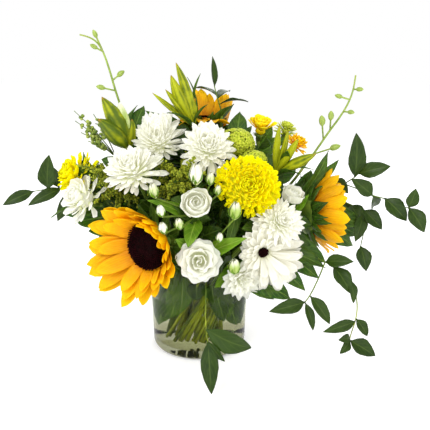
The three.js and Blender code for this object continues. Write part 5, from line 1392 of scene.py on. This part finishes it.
# Each spray's vines: their points, then their leaves by place on the vine, tip and width. The first vine of a
# spray starts where its stem ends.
VINES = {
    "ruscus_left": [(
        [(-126, 24, 196), (-152, 10, 204), (-173, 5, 207), (-190, 0, 207), (-208, -8, 205)],
        [(3, (-181, -14, 252), 19), (2, (-211, -16, 189), 13), (4, (-240, -22, 191), 13),
         (1.2, (-182, 4, 164), 15), (1, (-150, 24, 240), 15), (2.2, (-192, 22, 232), 14)],
    )],
    "ruscus_right": [(
        [(150, 28, 214), (186, 6, 213), (218, -10, 200), (230, -18, 199), (244, -26, 190), (258, -33, 190)],
        [(3, (254, -34, 174), 17), (5, (262, -34, 214), 12), (5, (272, -46, 163), 16),
         (0.6, (186, -14, 204), 15), (2, (226, 14, 180), 13), (2, (190, -10, 221), 15)],
    ), (
        [(186, 6, 213), (196, -2, 222), (200, -5, 228)],
        [(1, (193, -8, 278), 17), (2, (234, -20, 239), 15)],
    ), (
        [(150, 28, 214), (176, 30, 192), (198, 20, 182), (212, 9, 178), (213, -1, 152), (207, -8, 134),
         (207, -14, 122)],
        [(3, (233, -8, 156), 15), (3.2, (199, -12, 141), 13), (5, (212, -24, 106), 15),
         (1.5, (184, 44, 160), 14), (2, (209, -2, 160), 17), (1.6, (204, 16, 150), 17)],
    )],
    "ruscus_low": [(
        [(112, -44, 150), (136, -60, 138), (150, -70, 134), (164, -78, 127), (177, -84, 117), (184, -88, 99),
         (186, -90, 84), (184, -92, 69), (179, -93, 52), (178, -94, 44)],
        [(2, (178, -90, 141), 13), (2.6, (176, -94, 104), 17), (4, (179, -96, 93), 9),
         (7, (144, -106, 62), 11), (6.8, (197, -98, 53), 11), (9, (206, -104, 31), 16),
         (9, (164, -108, 36), 9), (8.4, (162, -106, 52), 9)],
    ), (
        [(150, -70, 134), (140, -80, 114), (131, -86, 98), (124, -89, 90)],
        [(3, (82, -108, 88), 14), (3, (134, -98, 60), 9), (2, (153, -98, 68), 13)],
    )],
    "ruscus_front": [(
        [(10, -86, 124), (11, -98, 112), (10, -109, 90), (11, -117, 69), (13, -122, 57)],
        [(4, (17, -140, 4), 19), (2.9, (62, -112, 46), 25), (4, (32, -126, 36), 9)],
    )],
    "ruscus_top": [(
        [(30, 16, 300), (24, 14, 318), (20, 12, 334)],
        [(2, (18, 4, 368), 8), (0.6, (62, 10, 314), 14), (1.2, (-6, 34, 330), 13), (1, (40, 44, 326), 13)],
    )],
    "ruscus_back": [(
        [(-104, 84, 196), (-128, 98, 202), (-150, 108, 198), (-166, 116, 188)],
        [(0.6, (-118, 112, 236), 17), (1, (-152, 80, 222), 15), (1.6, (-148, 136, 178), 15),
         (2.2, (-184, 96, 204), 15), (3, (-196, 128, 170), 15)],
    )],
}
# The way that the sprays' leaves look, where it isn't away from the bouquet's heart, and how wide they are.
SPRAY_FACES = {
    "ruscus_left": (0.1, -1, 0.4), "ruscus_right": (0, -1, 0.4), "ruscus_low": (0.3, -1, 0.5),
}
SPRAY_LEAF_WIDTH = {
    "ruscus_left": 1.15, "ruscus_right": 1.3, "ruscus_low": 1.2, "ruscus_front": 1.04, "ruscus_top": 1.1,
    "ruscus_back": 1.1,
}
LEAF_ARCH = {"ruscus_front": (12, 34, 24), "ruscus_top": (8, 24, 24, 24)}
USUAL_ARCH = 24


def lead_of(name):
    """A point just inside a stem's end, from which what stands on it grows."""
    return STEMS[name]["end"] - 4 * STEMS[name]["along"]


for seed, (name, vines) in enumerate(VINES.items()):
    draw = random.Random(300 + seed)
    lines, leaves = Skin(), Skin()
    add_stem(lines, name)
    thin = 0.5 * STEMS[name]["radius"]
    for number, (line, leaf_list) in enumerate(vines):
        path = [lead_of(name), *line] if number == 0 else line
        lines.sheet(closed_tube(smooth_line(path), thin, 6, 0.7), wrap=True)
        for k, (start, tip, width) in enumerate(leaf_list):
            arch = LEAF_ARCH[name][k] if name in LEAF_ARCH else USUAL_ARCH
            add_leaf(
                leaves, line, start, tip, width * SPRAY_LEAF_WIDTH[name], arch=arch, cup=0.3, shape=LANCE,
                tint=draw.random(), wave=0.03, faces=SPRAY_FACES.get(name),
            )
    lines.build(f"{name}_vine", "stem", name)
    leaves.build(f"{name}_leaves", "dark_leaf", name, LEAF_THICK)

# ---------------------------------------------------------------- lily buds and orchid tips

# Each lily: its buds' tips and radii, then its leaves by place on the stem, tip and width.
LILIES = {
    "lily_1": (
        [(-107, -46, 322, 12), (-110, -56, 298, 12), (-88, -38, 316, 11), (-76, -30, 296, 8)],
        [(6, (-73, -4, 311), 17), (5.6, (-122, -18, 290), 8), (5.4, (-62, 8, 270), 16)],
    ),
    "lily_2": (
        [(-24, -26, 360, 7), (-29, -38, 346, 8), (-36, -34, 330, 5), (-52, -26, 326, 4), (-12, -12, 328, 7)],
        [(6, (4, -18, 348), 6), (6, (12, -10, 312), 13), (5.6, (-44, -10, 316), 9),
         (5.6, (-34, -44, 304), 10), (6, (-12, -8, 344), 5)],
    ),
    "lily_3": (
        [(95, -44, 290, 5), (116, -54, 276, 5.5), (136, -58, 259, 7.5), (106, -38, 284, 4.5)],
        [(6, (140, -30, 236), 8), (5.6, (84, -14, 272), 12), (5.5, (118, -62, 236), 12),
         (5.8, (104, -56, 262), 12)],
    ),
}
OPENING_BUDS = ((-88, -38, 316),)  # these are paler
LILY_TINTS = {"lily_1": (0.05, 0.5), "lily_2": (0.4, 0.8), "lily_3": (0.5, 1)}
LILY_SHAPE = (
    (0, 0.2), (0.1, 0.3), (0.22, 0.6), (0.36, 0.9), (0.54, 1), (0.72, 0.84), (0.86, 0.54), (0.96, 0.22),
    (1, 0.03),
)

for seed, (name, (buds, leaf_list)) in enumerate(LILIES.items()):
    draw = random.Random(330 + seed)
    stems, pods, pale_pods, leaves = Skin(), Skin(), Skin(), Skin()
    add_stem(stems, name)
    stems.build(f"{name}_stem", "stem", name)
    for *tip, radius in buds:
        profile = [(t, 0.88 * radius * r) for t, r in LILY_SHAPE]
        bend = (draw.uniform(-3, 3), 0, 0)
        grid = pod(lead_of(name), np.array(tip, float), profile, 18, 3, 0.14, bend=bend)
        skin = pale_pods if tuple(tip) in OPENING_BUDS else pods
        skin.sheet(grid, draw.uniform(*LILY_TINTS[name]), wrap=True)
    pods.build(f"{name}_buds", "bud", name)
    if pale_pods.count:
        pale_pods.build(f"{name}_opening_buds", "pale_bud", name)
    for start, tip, width in leaf_list:
        add_leaf(leaves, stem_points(name), start, tip, width, cup=0.4, shape=LANCE, tint=draw.random())
    inner_leaves(leaves, name)
    leaves.build(f"{name}_leaves", "leaf", name, LEAF_THICK)

# Each orchid tip: its line's points, then its buds by place on the line, where they point and their radius.
ORCHIDS = {
    "orchid_1": (
        [(-76, 8, 268), (-88, 4, 288), (-98, -8, 328), (-102, -12, 348), (-108, -18, 372), (-114, -22, 383),
         (-122, -28, 388), (-131, -33, 390)],
        [(2, (-115, -12, 332), 4), (2.6, (-90, -10, 348), 4), (4.2, (-116, -24, 392), 3.5),
         (4, (-119, -20, 378), 3.5)],
    ),
    "orchid_2": (
        [(134, 6, 236), (142, -8, 252), (159, -16, 282), (169, -20, 297), (178, -24, 315), (182, -26, 330),
         (183, -28, 346)],
        [(1.6, (148, -20, 294), 5), (2, (158, -22, 300), 4.5), (1, (166, -20, 262), 5),
         (3.4, (180, -30, 304), 3.5), (4.2, (166, -20, 322), 3.5), (5, (188, -32, 330), 3.5)],
    ),
}
for name, (line, buds) in ORCHIDS.items():
    skin = Skin()
    add_stem(skin, name)
    skin.sheet(closed_tube(smooth_line([lead_of(name), *line]), 1.6, 8, 0.55), wrap=True)
    for start, at, radius in buds:
        root, tip, share = bud_tip(line, start, at, 0.8 * radius)
        skin.sheet(pod(root, tip, bud_profile(0.8 * radius, 1.0, share), 10, 3, 0.1), 0.7, wrap=True)
    skin.build(f"{name}_spray", "orchid_bud", name)

# ---------------------------------------------------------------- fillers

# Spikes fan out from the stem's end: their number, angles, spread, lowest and highest rise, tufts on each,
# their size, and how far they stand from the spike. The bead spray's spikes end at BEAD_TIPS instead.
FILLERS = {
    "filler_1": (54, (160, 310), 64, -30, 28, 66, 1.8, 6.5),
    "filler_2": (34, (0, 360), 44, -24, 34, 60, 1.8, 5.5),
    "bead_spray": (5, (0, 0), 0, 0, 0, 24, 2.9, 4.5),
    "filler_back": (24, (0, 360), 58, -14, 44, 60, 1.9, 5.5),
}
BEAD_TIPS = ((-151, 0, 304), (-143, -4, 278), (-128, 2, 300), (-150, -2, 292), (-134, -8, 268))
BEADS_TOGETHER = 5
FACE_SHARE = 0.66  # spikes may hide a bloom's edge, outside this share of its radius
for seed, (name, filler) in enumerate(FILLERS.items()):
    spikes, fan, spread, lowest, highest, tufts, size, off_line = filler
    draw = random.Random(350 + seed)
    skin, twigs = Skin(), Skin()
    add_stem(twigs, name)
    top, along = STEMS[name]["end"], STEMS[name]["along"]
    for i in range(spikes):
        angle = math.radians(fan[0] + (fan[1] - fan[0]) * i / spikes) + draw.uniform(-0.2, 0.2)
        reach = spread * draw.uniform(0.3, 0.98)
        tip = top + (0, 0, draw.uniform(lowest, highest)) + polar(angle, reach)
        if name == "bead_spray":
            tip = np.array(BEAD_TIPS[i], float)
        root = top - along * draw.uniform(3, 8)
        middle = (root + tip) / 2 + (0, 0, 5)
        if shows_before_a_bloom(tip, FACE_SHARE) or shows_before_a_bloom(middle, FACE_SHARE):
            continue
        path = smooth_line([root, middle, tip])
        twigs.sheet(closed_tube(path, 0.8, 5, 0.5), wrap=True)
        for k in range(tufts):
            share = draw.uniform(0.25, 1.0)
            if name == "bead_spray":
                share = 0.4 + 0.58 * BEADS_TOGETHER * (k // BEADS_TOGETHER) / tufts
            at = on_line(path, share * (len(path) - 1.01))
            off = unit([draw.gauss(0, 1) for _ in range(3)])
            at = at + off * draw.uniform(0.2, 1.0) * off_line * (1.2 - 0.6 * share)
            radius = size * draw.uniform(0.6, 1.1) * (1.2 - 0.4 * share)
            out = unit(off + along) * radius
            profile = [(0, 0.1), (0.2, 0.75 * radius), (0.5, radius), (0.8, 0.7 * radius), (1, 0.1)]
            skin.sheet(pod(at - out, at + out, profile, 7), draw.random(), wrap=True)
    twigs.build(f"{name}_twigs", "stem", name)
    skin.build(f"{name}_tufts", "bead" if name == "bead_spray" else "filler", name)

# ---------------------------------------------------------------- the vase and its water

VASE_SIDES = 96


def vase_skin(profile):
    """A profile of (radius, height) turned round the vase's axis."""
    angles = np.arange(VASE_SIDES) * 2 * math.pi / VASE_SIDES
    rings = []
    for radius, z in profile:
        x, y = max(radius, 0.01) * np.cos(angles), max(radius, 0.01) * np.sin(angles)
        rings.append(np.stack([x, y, np.full(VASE_SIDES, float(z))], axis=-1))
    skin = Skin()
    skin.sheet(np.array(rings)[:, ::-1], wrap=True)
    return skin


def vase_profile():
    """The glass, from the middle of its underside round its rim to the middle of its floor."""
    outside = [(0, 0), (30, 0), (50, 0)]
    for degrees in range(0, 91, 15):
        angle = math.radians(degrees)
        reach = VASE_FOOT_RADIUS - VASE_HEEL + VASE_HEEL * math.sin(angle)
        outside.append((reach, VASE_HEEL * (1 - math.cos(angle))))
    for share in np.linspace(0.1, 0.95, 8):
        outside.append((
            VASE_FOOT_RADIUS + (VASE_RIM_RADIUS - VASE_FOOT_RADIUS) * share,
            VASE_HEEL + (VASE_HEIGHT - VASE_HEEL) * share,
        ))
    half = GLASS_WALL / 2
    lip = []
    for degrees in range(0, 181, 30):
        angle = math.radians(degrees)
        reach = VASE_RIM_RADIUS - half + half * math.cos(angle)
        lip.append((reach, VASE_HEIGHT - half + half * math.sin(angle)))
    foot = VASE_FOOT_RADIUS - GLASS_WALL
    inside = [
        (VASE_RIM_RADIUS - GLASS_WALL, VASE_HEIGHT - 8), (foot + 1.85, WATER_LEVEL), (foot + 1.6, 60),
        (foot, GLASS_BASE + 8), (foot - 1, GLASS_BASE + 4), (foot - 3.5, GLASS_BASE + 1.2),
        (foot - 7, GLASS_BASE), (40, GLASS_BASE), (20, GLASS_BASE), (0, GLASS_BASE),
    ]
    return outside + lip + inside


vase_piece = vase_skin(vase_profile()).build("vase_body", "glass", "vase")
# The inner face that the water touches bends light hardly at all.
vase_piece.data.materials.append(MATERIALS["wet_glass"])
for face in vase_piece.data.polygons:
    x, y, z = face.center / MM
    face.material_index = int(GLASS_BASE - 0.5 < z < WATER_LEVEL and math.hypot(x, y) < VASE_FOOT_RADIUS - 1)

INTO_GLASS = 0.15  # the water's skin lies this far inside the glass, so that no air shows between them
wall = VASE_FOOT_RADIUS - GLASS_WALL + INTO_GLASS
water_profile = [
    (0, GLASS_BASE - INTO_GLASS), (wall - 7, GLASS_BASE - INTO_GLASS), (wall - 3.5, GLASS_BASE + 1.1),
    (wall - 1, GLASS_BASE + 4), (wall, GLASS_BASE + 8), (wall + 1.6, 60), (wall + 1.85, WATER_LEVEL + 0.8),
    (wall + 0.6, WATER_LEVEL), (wall - 2, WATER_LEVEL - 0.4), (0, WATER_LEVEL - 0.4),
]
vase_skin(water_profile).build("water_body", "water", "water")

# ---------------------------------------------------------------- floor, light and camera

FLOOR_REACH = 60.0
FLOOR_SHINE = 0.24
floor_material, stage_tree, stage_shader = start_material("pale_floor")
floor_colour = stage_tree.mix(stage_tree.noise(3.0), (0.95, 0.95, 0.95, 1), (0.97, 0.97, 0.97, 1))
stage_tree.feed(stage_shader.inputs["Base Color"], floor_colour)
stage_shader.inputs["Roughness"].default_value = 0.9
stage_shader.inputs["Emission Color"].default_value = (1, 1, 1, 1)
stage_shader.inputs["Emission Strength"].default_value = FLOOR_SHINE
floor_mesh = bpy.data.meshes.new("floor")
corners = [(FLOOR_REACH * x, FLOOR_REACH * y, 0) for x, y in ((-1, -1), (1, -1), (1, 1), (-1, 1))]
floor_mesh.from_pydata(corners, [], [(0, 1, 2, 3)])
floor_mesh.materials.append(floor_material)
floor = bpy.data.objects.new("floor", floor_mesh)
floor.location = (0, 0, -0.0005)  # just below the vase's underside
bpy.context.scene.collection.objects.link(floor)

LIT_POINT = (0, 0, 0.2)


def soft_light(name, place, power, size):
    """A large square light that looks at the bouquet. Its power is in watts."""
    data = bpy.data.lights.new(name, "AREA")
    data.energy = power
    data.size = size
    light = bpy.data.objects.new(name, data)
    light.location = place
    toward = Vector(LIT_POINT) - Vector(place)
    light.rotation_euler = toward.to_track_quat("-Z", "Y").to_euler()
    light.visible_transmission = False
    bpy.context.scene.collection.objects.link(light)


soft_light("key", (-0.9, -1.3, 1.5), 23, 1.0)
soft_light("fill", (1.3, -1.2, 0.8), 8, 1.2)
soft_light("front", (0.1, -1.9, 0.7), 9.5, 1.4)
soft_light("back", (0.4, 1.4, 1.3), 12, 1.0)

world = bpy.data.worlds.new("studio")
bpy.context.scene.world = world
world.use_nodes = True
STUDIO_LIGHT = 0.8  # what the world gives as light
WHITE_WALL = 1.0  # what the camera sees of it
sky = Tree(world.node_tree)
seen = sky.node("LightPath").outputs["Is Camera Ray"]
strength = sky.ease(seen, 0.0, 1.0, STUDIO_LIGHT, WHITE_WALL)
background = world.node_tree.nodes["Background"]
background.inputs["Color"].default_value = (1, 1, 1, 1)
sky.feed(background.inputs["Strength"], strength)
bpy.context.scene.view_settings.view_transform = "Standard"

# In millimetres and degrees. The focal length is in the photograph's pixels.
CAMERA_TARGET = (21, 0, 173)
CAMERA_DISTANCE = 700
CAMERA_PITCH = 14
PHOTO_SIZE = 430
FOCAL_PIXELS = 548
SENSOR = 36.0

camera_data = bpy.data.cameras.new("camera")
camera_data.sensor_width = SENSOR
camera_data.lens = FOCAL_PIXELS / PHOTO_SIZE * SENSOR
camera = bpy.data.objects.new("camera", camera_data)
pitch = math.radians(CAMERA_PITCH)
camera.location = (
    CAMERA_TARGET[0] * MM,
    (CAMERA_TARGET[1] - CAMERA_DISTANCE * math.cos(pitch)) * MM,
    (CAMERA_TARGET[2] + CAMERA_DISTANCE * math.sin(pitch)) * MM,
)
camera.rotation_euler = (math.pi / 2 - pitch, 0, 0)
bpy.context.scene.collection.objects.link(camera)
bpy.context.scene.camera = camera
